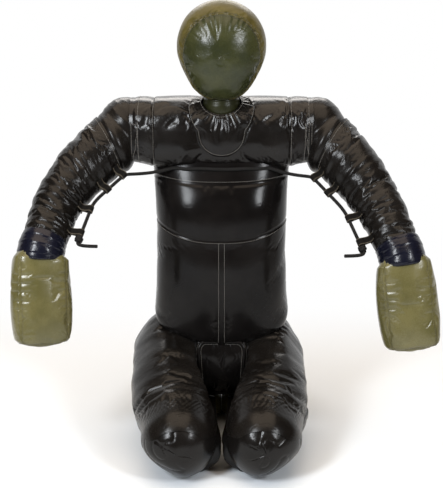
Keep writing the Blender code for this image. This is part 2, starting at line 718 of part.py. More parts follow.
def build_leg(dummy, side, black, olive, stuffing):
    sign = SIDES[side]
    hip = Vector((sign * HIP_SPREAD, HIP_Y, HIP_Z))
    knee = Vector((sign * KNEE_SPREAD, KNEE_Y, KNEE_Z))
    ankle = Vector((sign * ANKLE_SPREAD, KNEE_Y + SHIN_LENGTH, FOOT_HEIGHT / 2))
    dummy.body("thigh_" + side, Matrix.Translation(hip), "torso")
    dummy.body("shin_" + side, Matrix.Translation(knee), "thigh_" + side)
    dummy.body("foot_" + side, Matrix.Translation(ankle), "shin_" + side)
    length = (knee - hip).length
    place = limb_frame(hip, knee - hip, Vector((1, 0, 0)))
    fold = KNEE_Z + FIT

    def hood_end(angle):
        """The cover ends over the top of the knee ball and behind its underside."""
        return length + (KNEE_RADIUS + WALL + SLEEVE_GAP) * min(0.0, math.sin(angle))

    def thigh_point(station, angle):
        along, radius = station
        if along == "hood":
            along = hood_end(angle)
        if radius is None:
            radius = lerp(HIP_RADIUS, HOOD_RADIUS, along / length)
        y, z = section(radius, radius, angle)
        point = place @ Vector((along, y, z))
        point.x = sign * max(sign * point.x, inner_limit(along))
        point.z = max(point.z, fold)
        return point

    shaft = dome(HIP_RADIUS, DOME_ROWS)
    shaft += [(along, None) for along in (THIGHS_PART / 2, THIGHS_PART, KNEES_MEET)]
    name = "thigh_cover_" + side
    mesh = loft(name, LEG_SIDES, shaft + [("hood", None)], thigh_point)
    dummy.shell(name, "thigh_" + side, mesh, black)
    end = length - 0.55 * KNEE_RADIUS
    name = "thigh_fill_" + side
    mesh = loft(name, LEG_SIDES, shaft + [(end, FILL_TAPER * HOOD_RADIUS), (end, 0.0)], thigh_point)
    fill = dummy.stuffed(name, "thigh_" + side, mesh, stuffing)
    dummy.cut(fill, dummy.ball_cutter("knee_socket_" + side, knee, KNEE_RADIUS, LEG_SIDES))

    flat = math.cos(math.pi / LEG_SIDES)

    def shin_point(station, angle):
        """A ball at the knee, then a calf pressed flat under the thigh and on the floor."""
        along, closed = station
        share = max(0.0, along - KNEE_RADIUS) / (SHIN_LENGTH - KNEE_RADIUS)
        spread = quad(KNEE_SPREAD, CALF_SPREAD, ANKLE_SPREAD, share)
        half_width = quad(KNEE_RADIUS, CALF_HALF_WIDTH, ANKLE_HALF_WIDTH, share)
        height = lerp(1.0, FOOT_HEIGHT / KNEE_Z, max(0.0, share - CALF_FULL) / (1 - CALF_FULL))
        if along <= 0:
            half_width = math.sqrt(max(0.0, KNEE_RADIUS ** 2 - along ** 2))
        x, z = section(half_width, half_width, -angle, lerp(2.0, 3.0, min(1.0, 2 * share)))
        if along > 0 and z >= 0:
            z = min(z, math.sqrt(max(0.0, KNEE_RADIUS ** 2 - along ** 2 - x ** 2)))
        elif along > 0:
            z = -KNEE_Z * min(1.0, -z / half_width / flat)
        point = Vector((sign * spread + x, KNEE_Y + along, height * max(0.0, KNEE_Z + z)))
        point.x = sign * max(sign * point.x, LEG_GAP / 2)
        centre = Vector((sign * spread, KNEE_Y + along, FOOT_HEIGHT / 2))
        return centre.lerp(point, closed)

    front = [(s, 1.0) for s, r in dome(KNEE_RADIUS, DOME_ROWS)]
    crease = [math.sin(math.pi * (2 * i + 1) / LEG_SIDES) for i in range(LEG_SIDES // 4)] + [1.0]
    back = [(KNEE_RADIUS * share, 1.0) for share in crease]
    shares = (CALF_FULL / 2, CALF_FULL)
    calf = front + back + [(lerp(KNEE_RADIUS, SHIN_LENGTH, share), 1.0) for share in shares]
    end = SHIN_LENGTH - ANKLE_BALL - FIT + LINING
    name = "shin_cover_" + side
    mesh = loft(name, LEG_SIDES, calf + [(end, 1.0), (SHIN_LENGTH - ANKLE_BALL / 2, 1.0)], shin_point, 0.5)
    dummy.shell(name, "shin_" + side, mesh, black)
    name = "shin_fill_" + side
    mesh = loft(name, LEG_SIDES, calf + [(end, FILL_TAPER), (end, 0.0)], shin_point, 0.5)
    dummy.stuffed(name, "shin_" + side, mesh, stuffing)
    build_foot(dummy, side, ankle, olive, stuffing)


def build_foot(dummy, side, ankle, olive, stuffing):
    """A flattened boot, toes back under the seat: stations hold length, half width and half height."""
    sign = SIDES[side]
    inward = TOE_SPREAD - ANKLE_SPREAD
    toe = Vector((sign * inward, math.sqrt(FOOT_LENGTH ** 2 - inward ** 2), 0.0))
    place = limb_frame(ankle, toe, Vector((1, 0, 0)))
    tall = FOOT_HEIGHT / 2 / math.cos(math.pi / ARM_SIDES)
    outline = [(ANKLE_BALL * 0.9, FOOT_HALF_WIDTH * 0.8, tall * 0.92),
               (0.35 * FOOT_LENGTH, FOOT_HALF_WIDTH, tall),
               (0.75 * FOOT_LENGTH, FOOT_HALF_WIDTH, tall),
               (0.94 * FOOT_LENGTH, FOOT_HALF_WIDTH * 0.75, tall * 0.8)]

    def foot_point(station, angle):
        y, z = section(station[1], station[2], angle, station[3])
        point = place @ Vector((station[0], y, z))
        point.z = min(max(point.z, 0.0), FOOT_HEIGHT)
        point.x = sign * max(sign * point.x, LEG_GAP / 2)
        return point

    stations = [(*entry, 3.0) for entry in outline] + [(FOOT_LENGTH, 0.0, 0.0, 2.0)]
    name = "foot_cover_" + side
    dummy.shell(name, "foot_" + side, loft(name, ARM_SIDES, stations, foot_point, 0.5), olive)
    ball = [(s, r, r, 2.0) for s, r in dome(ANKLE_BALL + LINING, 4, 115)]
    name = "foot_fill_" + side
    mesh = loft(name, ARM_SIDES, ball + stations, foot_point, 0.5)
    dummy.stuffed(name, "foot_" + side, mesh, stuffing)


def stand_on_origin(dummy):
    """Move the whole dummy so that the middle of its underside is at the origin."""
    bpy.context.view_layer.update()
    graph = bpy.context.evaluated_depsgraph_get()
    corners = []
    for obj in dummy.parts.objects:
        shown = obj.evaluated_get(graph)
        corners += [shown.matrix_world @ vertex.co for vertex in shown.to_mesh().vertices]
        shown.to_mesh_clear()
    low = Vector([min(corner[i] for corner in corners) for i in range(3)])
    high = Vector([max(corner[i] for corner in corners) for i in range(3)])
    middle = (low + high) / 2
    dummy.bodies["torso"].location -= Vector((middle.x, middle.y, low.z))
    bpy.context.view_layer.update()
    for name, empty in dummy.bodies.items():
        place = empty.matrix_world.translation
        across = empty.matrix_world.to_3x3() @ Vector((0, 1, 0))
        print("body", name, "at", [round(v, 5) for v in place], "Y axis", [round(v, 5) for v in across])


def main():
    clear_scene()
    dummy = Dummy()
    black = finish("black_vinyl", (0.012, 0.011, 0.010), 0.28)
    olive = finish("olive_vinyl", (0.115, 0.102, 0.028), 0.38)
    tape = finish("wrist_tape", (0.006, 0.007, 0.014), 0.20)
    webbing = finish("webbing", (0.020, 0.018, 0.015), 0.80)
    cord = finish("drawcord", (0.012, 0.012, 0.012), 0.75)
    stuffing = finish("stuffing", (0.450, 0.430, 0.380), 0.95)
    dummy.body("torso", Matrix.Identity(4))
    dummy.body("neck", Matrix.Translation((0, NECK_Y, NECK_Z)), "torso")
    dummy.body("head", Matrix.Translation((0, NECK_Y, NECK_Z + NECK_LENGTH)), "neck")
    build_yoke(dummy, black, stuffing)
    build_trunk(dummy, black, stuffing)
    build_head(dummy, olive, stuffing)
    for side in SIDES:
        build_arm(dummy, side, black, olive, tape, stuffing)
        build_leg(dummy, side, black, olive, stuffing)
    build_drawcord(dummy, webbing, cord)
    stand_on_origin(dummy)


main()
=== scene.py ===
"""Looks of the kneeling grappling dummy: swollen vinyl skins, seams, stitches, webbing and drawcord."""
import json
import math

import bpy
import numpy as np
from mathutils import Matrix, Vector


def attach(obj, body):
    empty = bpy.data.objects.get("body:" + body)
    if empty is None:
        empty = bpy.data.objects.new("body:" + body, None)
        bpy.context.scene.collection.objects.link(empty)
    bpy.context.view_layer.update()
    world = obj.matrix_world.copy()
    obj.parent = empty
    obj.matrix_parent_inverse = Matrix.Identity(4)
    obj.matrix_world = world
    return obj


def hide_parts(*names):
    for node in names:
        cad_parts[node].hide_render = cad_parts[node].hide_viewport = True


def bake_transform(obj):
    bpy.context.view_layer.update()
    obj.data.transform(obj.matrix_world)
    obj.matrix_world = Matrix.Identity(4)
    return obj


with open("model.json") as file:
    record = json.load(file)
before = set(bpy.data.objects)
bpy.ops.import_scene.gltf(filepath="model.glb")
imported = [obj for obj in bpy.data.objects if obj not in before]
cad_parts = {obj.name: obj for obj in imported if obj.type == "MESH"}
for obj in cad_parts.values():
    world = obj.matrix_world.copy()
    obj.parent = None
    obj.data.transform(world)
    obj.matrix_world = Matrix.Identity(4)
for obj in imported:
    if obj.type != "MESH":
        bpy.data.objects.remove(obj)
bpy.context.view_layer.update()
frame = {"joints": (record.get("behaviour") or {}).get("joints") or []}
TAU = 2 * math.pi
SIDES = {"right": -1, "left": 1}
COLLECTION = bpy.context.scene.collection


def joint_place(name):
    for joint in frame["joints"]:
        if joint["name"] == name:
            return np.array(joint["pos_m"], float)


# Everything below is drawn with the dummy's middle at x = 0 and its shoulder axis at y = 0.
NECK_BALL = np.array((0.0, -0.050, 0.8154))
SHIFT = joint_place("neck_nod") - NECK_BALL
SHOULDER_X, SHOULDER_Z = 0.232, 0.7574
HIP_Y, HIP_Z = 0.020, 0.1954
FLOOR_CLEAR = 0.0004


# ---------------------------------------------------------------- camera
SENSOR_MM = 24.0
FOCAL_PX, HEIGHT_PX = 923, 488           # focal length and height of the picture
CAMERA_PLACE, CAMERA_DIP = (0.0, -2.25, 0.990), 13     # the dip is in degrees below level


def show(name, data):
    """A new object in the scene."""
    obj = bpy.data.objects.new(name, data)
    COLLECTION.objects.link(obj)
    return obj


def aim_camera():
    data = bpy.data.cameras.new("camera")
    data.sensor_fit = "VERTICAL"
    data.sensor_height = SENSOR_MM
    data.lens = SENSOR_MM * FOCAL_PX / HEIGHT_PX
    data.clip_end = 60
    camera = show("camera", data)
    camera.location = Vector(CAMERA_PLACE) + Vector(SHIFT)
    camera.rotation_euler = (math.radians(90 - CAMERA_DIP), 0, 0)
    bpy.context.scene.camera = camera


# ---------------------------------------------------------------- small maths
def unit(v):
    v = np.asarray(v, float)
    return v / np.maximum(np.linalg.norm(v, axis=-1, keepdims=True), 1e-12)


def lerp(a, b, t):
    return a + (b - a) * t


def ease(t):
    t = np.clip(t, 0, 1)
    return t * t * (3 - 2 * t)


def bump(t):
    """One smooth hump: 1 at t = 0, nothing past 1."""
    return np.clip(1 - np.asarray(t, float) ** 2, 0, 1) ** 2


def quad(first, middle, last, t):
    return first + (last - first) * t + (4 * middle - 2 * first - 2 * last) * t * (1 - t)


def power(value, exponent):
    return np.sign(value) * np.abs(value) ** exponent


def ring(angle, half_a, half_b, squareness=2.0):
    e = 2 / squareness
    return half_a * power(np.cos(angle), e), half_b * power(np.sin(angle), e)


def chaikin(points, rounds=2):
    """Cut the corners of an open path."""
    p = np.asarray(points, float)
    for _ in range(rounds):
        q = lerp(p[:-1], p[1:], 0.25)
        r = lerp(p[:-1], p[1:], 0.75)
        p = np.vstack([p[:1], np.stack([q, r], 1).reshape(-1, p.shape[1]), p[-1:]])
    return p


def distances(points):
    """Distance gone along the first axis of a path or a grid."""
    step = np.linalg.norm(np.diff(points, axis=0), axis=-1)
    return np.concatenate([[0], np.cumsum(step.reshape(len(step), -1).mean(1))])


def read_off(s, run, points):
    """Points of a path at some distances along it."""
    return np.stack([np.interp(s, run, points[:, i]) for i in range(3)], -1)


def along_path(points, count):
    """Evenly spaced points on a path."""
    p = np.asarray(points, float)
    run = distances(p)
    return read_off(np.linspace(0, run[-1], count), run, p)


def spokes(angle, a, b):
    """Unit spokes at some angles in the plane of two axes."""
    angle = np.asarray(angle)[..., None]
    return np.cos(angle) * a + np.sin(angle) * b


def around(count, offset=0.0):
    """Angles of the columns round a cover."""
    return (np.arange(count) + offset) / count * TAU


def bow(first, middle, last, t):
    """Curve from first to last, drawn towards the middle point."""
    return (1 - t) ** 2 * first + 2 * t * (1 - t) * middle + t ** 2 * last


def by_side(side, right, left):
    return right if side == "right" else left


def keep_outside(P, sign, limit):
    """Keep a leg's points on their own side of the middle."""
    P[..., 0] = sign * np.maximum(sign * P[..., 0], limit)


def path_length(points):
    return float(np.linalg.norm(np.diff(np.asarray(points), axis=0), axis=1).sum())


def smooth_noise(shape, cells, seed, wrap_cols=True):
    """Soft seeded noise on a grid, about -1 to 1; cells gives how many lumps along and round."""
    rng = np.random.default_rng(seed)
    rows, cols = shape
    table = rng.uniform(-1, 1, (cells[0] + 1, cells[1] + 1))
    if wrap_cols:
        table[:, -1] = table[:, 0]
    u, v = np.meshgrid(np.linspace(0, 1, rows), np.linspace(0, 1, cols, endpoint=not wrap_cols), indexing="ij")
    sway = 0.45 * np.sin(TAU * (2 * v + 0.37 * seed)), 0.45 * np.sin(TAU * (1.5 * u + 0.61 * seed))
    u, v = np.clip(u * cells[0] + sway[0], 0, cells[0]), v * cells[1] + sway[1]
    v = v % cells[1] if wrap_cols else np.clip(v, 0, cells[1])
    i, j = np.minimum(u.astype(int), cells[0] - 1), np.minimum(v.astype(int), cells[1] - 1)
    fu, fv = ease(u - i), ease(v - j)
    return lerp(lerp(table[i, j], table[i, j + 1], fv), lerp(table[i + 1, j], table[i + 1, j + 1], fv), fu)


# ---------------------------------------------------------------- skins
# how the covers behave while they swell
CLOTH = {"quality": 5, "mass": 0.2, "tension_stiffness": 12, "compression_stiffness": 12, "shear_stiffness": 4,
         "bending_stiffness": 0.05, "air_damping": 2.0, "use_pressure": True, "vertex_group_shrink": "held",
         "vertex_group_mass": "held", "pin_stiffness": 1.0}
SWELL_FRAMES, CACHE_FRAMES = 20, 30
FREE_SHARE = 0.7         # part of a cover's cap that it may move before it is slowed
THREAD_LIFT = 0.0004     # how far a stitch line stands off its cover


def grid_quads(rows, cols, closed=True):
    """Point numbers of a grid and its quads, wrapped round when closed."""
    i = np.arange(rows * cols).reshape(rows, cols)
    w = np.hstack([i, i[:, :1]]) if closed else i
    return i, np.stack([w[:-1, :-1], w[:-1, 1:], w[1:, 1:], w[1:, :-1]], -1).reshape(-1, 4)


def grid_normals(P, closed):
    """Outward normals of a grid whose rows run along and columns run round."""
    du = np.gradient(P, axis=0)
    if closed:
        dv = (np.roll(P, -1, 1) - np.roll(P, 1, 1)) / 2
    else:
        dv = np.gradient(P, axis=1)
    return unit(np.cross(du, dv))


class Skin:
    """A sewn cover as a grid of points: rows run along it and columns run round it."""

    def __init__(self, name, P, closed=True, grow=0.10, pressure=4.0, cap=0.008, pins=None, fold=None,
                 spare=None, centre=None):
        self.name, self.P, self.closed, self.spare = name, np.asarray(P, float), closed, spare
        self.grow, self.pressure, self.cap, self.pins = grow, pressure, cap, pins
        N = grid_normals(self.P, closed)
        away = self.P - (self.P.mean((0, 1)) if centre is None else centre)
        self.out = 1.0 if np.mean(np.einsum("ijk,ijk->ij", N, away)) > 0 else -1.0
        if fold is not None:
            self.P = self.P + N * self.out * fold[..., None]
        self.rest = self.P.copy()

    def normals(self):
        return grid_normals(self.P, self.closed) * self.out

    def faces(self):
        quads = grid_quads(*self.P.shape[:2], self.closed)[1]
        return quads if self.out < 0 else quads[:, ::-1]

    def add_cloth(self):
        mesh = bpy.data.meshes.new(self.name + "_work")
        mesh.from_pydata(self.P.reshape(-1, 3).tolist(), [], self.faces().tolist())
        self.work = show(self.name + "_work", mesh)
        held = self.work.vertex_groups.new(name="held")
        pins = self.pins.reshape(-1)
        for level in np.unique(np.round(pins, 2)):
            if level > 0:
                held.add(np.flatnonzero(np.round(pins, 2) == level).tolist(), float(level), "REPLACE")
        modifier = self.work.modifiers.new("swell", "CLOTH")
        s = modifier.settings
        if self.spare is not None:
            self.work.shape_key_add(name="sewn", from_mix=False)
            cut = self.work.shape_key_add(name="cut", from_mix=False)
            cut.data.foreach_set("co", (self.P + self.spare).reshape(-1))
            s.rest_shape_key = cut
        for key, value in CLOTH.items():
            setattr(s, key, value)
        s.uniform_pressure_force = self.pressure
        s.shrink_min, s.shrink_max = -self.grow, 0.0
        s.effector_weights.gravity = 0
        modifier.collision_settings.use_collision = False
        modifier.point_cache.frame_start = 1
        modifier.point_cache.frame_end = CACHE_FRAMES

    def harvest(self, graph):
        """Take the swollen shape, with no point further from its start than the cap."""
        shown = self.work.evaluated_get(graph).data
        P = np.empty(len(shown.vertices) * 3)
        shown.vertices.foreach_get("co", P)
        move = P.reshape(self.P.shape) - self.rest
        size = np.linalg.norm(move, axis=-1, keepdims=True)
        free = FREE_SHARE * self.cap
        held = free + (self.cap - free) * np.tanh((size - free) / (self.cap - free))
        self.P = self.rest + move * (np.where(size > free, held, size) / np.maximum(size, 1e-9))
        bpy.data.objects.remove(self.work)

    def refine(self):
        """Twice as fine each way, with the outward normals kept for shading."""
        P = doubled(self.P, False)
        self.P = doubled(P.swapaxes(0, 1), self.closed).swapaxes(0, 1)
        self.N = self.normals()

    def line(self, rows, cols, lift=THREAD_LIFT):
        """Points on the skin along a row or a column, or along paired lists of both."""
        rows, cols = np.broadcast_arrays(rows, np.asarray(cols) % self.P.shape[1])
        return self.P[rows, cols] + self.N[rows, cols] * lift


def doubled(A, closed):
    """Twice the points along the first axis, on smooth curves through the old ones."""
    if closed:
        before, a, b, after = np.roll(A, 1, 0), A, np.roll(A, -1, 0), np.roll(A, -2, 0)
    else:
        longer = np.concatenate([2 * A[:1] - A[1:2], A, 2 * A[-1:] - A[-2:-1]])
        before, a, b, after = longer[:-3], longer[1:-2], longer[2:-1], longer[3:]
    middle = (9 * (a + b) - before - after) / 16
    out = np.empty((len(A) + len(middle),) + A.shape[1:])
    out[0::2], out[1::2] = A, middle
    return out


def swell(skins):
    """Blow all the skins up together with cloth simulation."""
    scene = bpy.context.scene
    for skin in skins:
        skin.add_cloth()
    for number in range(1, SWELL_FRAMES + 1):
        scene.frame_set(number)
    graph = bpy.context.evaluated_depsgraph_get()
    for skin in skins:
        skin.harvest(graph)
    scene.frame_set(1)


# ---------------------------------------------------------------- finishes
def add_node(tree, kind, settings=None, sockets=None):
    """A node with its settings; each of its sockets takes a link or a plain value."""
    node = tree.nodes.new(kind)
    for key, value in (settings or {}).items():
        setattr(node, key, value)
    for key, value in (sockets or {}).items():
        if isinstance(value, bpy.types.NodeSocket):
            tree.links.new(value, node.inputs[key])
        else:
            node.inputs[key].default_value = value
    return node


class Value:
    """A shader socket; sums and products with it add Math nodes."""

    def __init__(self, finish, socket):
        self.finish, self.socket = finish, socket

    def maths(self, operation, a, b):
        return self.finish.node("ShaderNodeMath", {"operation": operation}, {0: a, 1: b})

    def __add__(self, other):
        return self.maths("ADD", self, other)

    def __sub__(self, other):
        return self.maths("SUBTRACT", self, other)

    def __mul__(self, other):
        return self.maths("MULTIPLY", self, other)

    def __abs__(self):
        return self.finish.node("ShaderNodeMath", {"operation": "ABSOLUTE"}, {0: self})

    __radd__ = __add__
    __rmul__ = __mul__


class Finish:
    """A material: every node comes from node(), and shade() ties the results to the shader."""

    def __init__(self, name, **constants):
        self.material = bpy.data.materials.new(name)
        self.material.use_nodes = True
        self.tree = self.material.node_tree
        self.shader = self.tree.nodes["Principled BSDF"]
        for socket, value in constants.items():
            self.shader.inputs[socket.replace("_", " ")].default_value = value

    def node(self, kind, settings=None, sockets=None, out=0):
        plain = {key: value.socket if isinstance(value, Value) else value for key, value in (sockets or {}).items()}
        return Value(self, add_node(self.tree, kind, settings, plain).outputs[out])

    def place(self, scale=(1, 1, 1), uv=False, turn=0.0):
        """Coordinates of the piece itself, or of its own UV map."""
        coords = self.node("ShaderNodeTexCoord", out=2 if uv else 3)
        return self.node("ShaderNodeMapping", None, {"Vector": coords, "Scale": scale, "Rotation": (0, 0, turn)})

    def noise(self, vector, scale, detail=3.0, rough=0.55):
        return self.node("ShaderNodeTexNoise", {"noise_type": "FBM", "normalize": True},
                         {"Vector": vector, "Scale": scale, "Detail": detail, "Roughness": rough})

    def wave(self, vector, direction, scale, distortion=0.0, detail=2.0):
        return self.node("ShaderNodeTexWave", {"wave_type": "BANDS", "bands_direction": direction},
                         {"Vector": vector, "Scale": scale, "Distortion": distortion, "Detail": detail})

    def step(self, value, low, high):
        return self.node("ShaderNodeMapRange", {"interpolation_type": "SMOOTHSTEP"},
                         {"Value": value, "From Min": low, "From Max": high})

    def mix(self, share, a, b):
        return self.node("ShaderNodeMix", {"data_type": "RGBA"}, {0: share, 6: a, 7: b}, out=2)

    def bump(self, height, distance, strength=1.0, under=None):
        sockets = {"Height": height, "Distance": distance, "Strength": strength}
        if under is not None:
            sockets["Normal"] = under
        return self.node("ShaderNodeBump", None, sockets)

    def shade(self, **results):
        for socket, value in results.items():
            self.tree.links.new(value.socket, self.shader.inputs[socket.replace("_", " ")])
        return self.material


def vinyl(name, dark, light, dust, rough, crease, shine, seed):
    """Padded vinyl: fine grain, tension creases across the limb, scuffs and uneven gloss."""
    f = Finish(name, IOR=1.5, Specular_IOR_Level=shine)
    dark, light, dust = (*dark, 1), (*light, 1), (*dust, 1)
    flat = f.place()
    grain = f.noise(flat, 620 + seed, 2.0)
    cloth = f.place((1.0, 0.34, 1.0), uv=True)
    fine = f.noise(cloth, 150 + seed, 4.0, 0.6)
    fold = f.noise(cloth, 46 + seed, 3.0, 0.5)
    thin = f.step(abs(fold - 0.5), 0.0, 0.05)
    patch = f.noise(flat, 9 + seed, 3.0)
    scuff = f.step(f.noise(flat, 55 + seed, 5.0, 0.7), 0.66, 0.78)
    wear = scuff * f.step(patch, 0.45, 0.65)
    base = f.mix(f.step(patch, 0.30, 0.72), dark, light)
    base = f.mix(wear * 0.25, base, dust)
    gloss = rough + 0.10 * (patch - 0.5) + 0.10 * (grain - 0.5) + 0.22 * wear
    normal = f.bump(fine, 0.0007 * crease, 0.40)
    normal = f.bump(thin, 0.0006 * crease, 0.30, normal)
    normal = f.bump(grain, 0.00018, 0.20, normal)
    return f.shade(Base_Color=base, Roughness=gloss, Normal=normal)


def thread(name, dark, light):
    """Twisted sewing thread."""
    f = Finish(name, Sheen_Weight=0.2)
    flat = f.place()
    ply = f.noise(flat, 1400, 2.0)
    return f.shade(Base_Color=f.mix(ply, dark, light), Roughness=0.55 + 0.2 * ply,
                   Normal=f.bump(ply, 0.0004, 0.6))


def woven_strap(name, dark, light, edge):
    """Flat webbing: a fine rib across, a chevron weave and paler worn edges, on the strap's own UV."""
    f = Finish(name, Specular_IOR_Level=0.10)
    run = f.place(uv=True)
    rib = f.wave(run, "X", 210.0, 0.6, 1.0)
    cross = f.wave(run, "DIAGONAL", 320.0, 0.3)
    fuzz = f.noise(f.place(), 700, 3.0)
    across = f.node("ShaderNodeSeparateXYZ", None, {0: run}, out=1)
    worn = f.step(abs(across) + 0.002 * (fuzz - 0.5), 0.0056, 0.0072)
    base = f.mix(0.6 * rib + 0.4 * fuzz, dark, light)
    base = f.mix(worn * 0.85, base, edge)
    height = 0.6 * rib + 0.3 * cross + 0.2 * fuzz
    return f.shade(Base_Color=base, Roughness=0.62 + 0.25 * fuzz, Normal=f.bump(height, 0.0008, 0.7))


def braided_cord(name, dark, light):
    """Round braid: two sets of strands winding against each other."""
    f = Finish(name, Specular_IOR_Level=0.2)
    one, two = [f.wave(f.place(uv=True, turn=turn), "X", 95.0) for turn in (0.75, -0.75)]
    fuzz = f.noise(f.place(), 900, 3.0)
    strand = one * two
    return f.shade(Base_Color=f.mix(0.7 * strand + 0.3 * fuzz, dark, light),
                   Roughness=0.55 + 0.3 * fuzz, Normal=f.bump(strand + 0.2 * fuzz, 0.0012, 0.8))


def wrapped_tape(name):
    """Shiny tape wound round the wrist: long wrinkles and the edges of its turns."""
    f = Finish(name, Coat_Weight=0.12, Coat_Roughness=0.08, Specular_IOR_Level=0.22)
    run = f.place((1.0, 0.30, 1.0), uv=True)
    crush = f.noise(run, 190, 4.0, 0.6)
    patch = f.noise(f.place(), 40, 3.0)
    base = f.mix(patch, (0.0020, 0.0026, 0.0075, 1), (0.0055, 0.0066, 0.0150, 1))
    return f.shade(Base_Color=base, Roughness=0.16 + 0.16 * patch, Normal=f.bump(crush, 0.0016, 0.6))


# name, dark and light colour, colour of dust, roughness, depth of creases, shine and noise offset
BLACK, TAUT, GLOSSY, OLIVE, FACE, BAND, PAINTED_SHADE_NECK = [vinyl(*row) for row in (
    ("black_vinyl_skin", (0.0042, 0.0036, 0.0032), (0.0085, 0.0074, 0.0066), (0.030, 0.026, 0.021),
     0.26, 0.8, 0.20, 0.0),
    ("taut_black_vinyl_skin", (0.0038, 0.0034, 0.0034), (0.0075, 0.0067, 0.0064), (0.026, 0.023, 0.020),
     0.18, 0.22, 0.13, 3.0),
    ("glossy_black_vinyl_skin", (0.0040, 0.0036, 0.0034), (0.0080, 0.0070, 0.0064), (0.026, 0.023, 0.020),
     0.23, 0.35, 0.24, 5.0),
    ("olive_vinyl_skin", (0.086, 0.079, 0.027), (0.126, 0.113, 0.042), (0.24, 0.21, 0.12), 0.27, 0.25, 0.5, 7.0),
    ("olive_face_skin", (0.021, 0.025, 0.009), (0.038, 0.041, 0.014), (0.10, 0.095, 0.045), 0.27, 0.5, 0.32, 13.0),
    ("olive_band_skin", (0.060, 0.050, 0.013), (0.090, 0.075, 0.021), (0.18, 0.155, 0.07), 0.36, 0.5, 0.2, 17.0),
    # the neck's olive is darkened to about half the face's colour: painted shade under the head
    ("olive_neck_painted_shade_skin", (0.012, 0.013, 0.005), (0.021, 0.022, 0.008), (0.05, 0.045, 0.02), 0.34, 0.5, 0.2, 19.0))]
TAPE = wrapped_tape("wrist_tape_skin")
GREY_THREAD = thread("grey_thread", (0.10, 0.095, 0.085, 1), (0.24, 0.23, 0.21, 1))
OLIVE_THREAD = thread("olive_thread", (0.045, 0.040, 0.012, 1), (0.11, 0.098, 0.035, 1))
DARK_THREAD = thread("dark_olive_thread", (0.012, 0.011, 0.004, 1), (0.040, 0.036, 0.014, 1))
WEBBING = woven_strap("webbing_weave", (0.003, 0.0028, 0.0026, 1), (0.010, 0.009, 0.008, 1),
                      (0.11, 0.095, 0.072, 1))
CORD = braided_cord("drawcord_braid", (0.004, 0.004, 0.004, 1), (0.018, 0.017, 0.016, 1))


# ---------------------------------------------------------------- pieces from skins
def put(name, verts, faces, material, uv=None, normals=None):
    mesh = bpy.data.meshes.new(name)
    mesh.from_pydata((np.asarray(verts) + SHIFT).tolist(), [], [tuple(int(i) for i in f) for f in faces])
    mesh.materials.append(material)
    mesh.shade_smooth()
    if uv is not None:
        mesh.uv_layers.new(name="skin").data.foreach_set("uv", np.concatenate([np.ravel(p) for p in uv]))
    if normals is not None:
        mesh.normals_split_custom_set_from_vertices(normals.tolist())
    return show(name, mesh)


def sleeve(name, skin, material, first=0, last=None, sink=(0.004, 0.004)):
    """A closed piece from some rows of a skin; its ends are closed by shallow caps inside the neighbours."""
    P, N = skin.P[first:last], skin.N[first:last]
    rows, cols = P.shape[:2]
    girth = np.linalg.norm(np.roll(P, -1, 1) - P, axis=-1).sum(1).max()
    i, quads = grid_quads(rows, cols)
    j = np.roll(i, -1, 1)
    u, v = np.meshgrid(distances(P), np.arange(cols + 1) / cols * girth, indexing="ij")
    uv = np.stack([u, v], -1)
    quad_uv = np.stack([uv[:-1, :-1], uv[:-1, 1:], uv[1:, 1:], uv[1:, :-1]], -2).reshape(-1, 4, 2)
    middles, fans = [], []
    for end, depth in ((0, sink[0]), (-1, sink[1])):
        inward = unit(P[1 if end == 0 else -2].mean(0) - P[end].mean(0))
        middles.append(P[end].mean(0) + inward * depth)
        tip = rows * cols + len(middles) - 1
        a, b = (j[0], i[0]) if end == 0 else (i[-1], j[-1])
        fans.append(np.stack([a, b, np.full(cols, tip)], -1))
    fans = np.concatenate(fans)
    if skin.out > 0:
        quads, quad_uv, fans = quads[:, ::-1], quad_uv[:, ::-1], fans[:, ::-1]
    verts = np.vstack([P.reshape(-1, 3), middles])
    ends = [unit(N[0].mean(0)) if depth <= 0 else unit(middle - P.mean((0, 1)))
            for middle, depth in zip(middles, sink)]
    normals = np.vstack([N.reshape(-1, 3), ends])
    fan_uv = np.zeros((len(fans), 3, 2))
    return put(name, verts, quads.tolist() + fans.tolist(), material, [quad_uv, fan_uv], normals)


def panel(name, skin, material, rows, cols, wall=0.004):
    """A padded panel cut from a skin between two rows and two columns, with its own thickness."""
    r = np.arange(rows[0], rows[1] + 1)
    c = np.arange(cols[0], cols[1] + 1) % skin.P.shape[1]
    P, N = skin.P[np.ix_(r, c)], skin.N[np.ix_(r, c)]
    count = P.shape[0] * P.shape[1]
    i, quads = grid_quads(*P.shape[:2], False)
    border = np.concatenate([i[0, :-1], i[:-1, -1], i[-1, :0:-1], i[:0:-1, 0]])
    after = np.roll(border, -1)
    walls = np.stack([after, border, border + count, after + count], -1)
    if skin.out > 0:
        quads, walls = quads[:, ::-1], walls[:, ::-1]
    faces = np.concatenate([quads, quads[:, ::-1] + count, walls])
    u, v = np.meshgrid(distances(P), distances(P.swapaxes(0, 1)), indexing="ij")
    uv = np.tile(np.stack([u, v], -1).reshape(-1, 2), (2, 1))
    verts = np.vstack([P.reshape(-1, 3), (P - N * wall).reshape(-1, 3)])
    normals = np.vstack([N.reshape(-1, 3), -N.reshape(-1, 3)])
    return put(name, verts, faces.tolist(), material, [uv[faces]], normals)


def frames_on(path):
    """Heading and two cross axes at each point of a path, without twist."""
    heading = unit(np.gradient(path, axis=0))
    axis = np.cross(heading[0], (0.3, 0.2, 1.0))
    sides = []
    for h in heading:
        axis = unit(axis - h * np.dot(axis, h))
        sides.append(axis)
    sides = np.array(sides)
    return heading, sides, np.cross(heading, sides)


DOME_RISE, DOME_RIM = 0.3, 0.7      # a hose's closed end: its rise and its rim, as shares of the radius


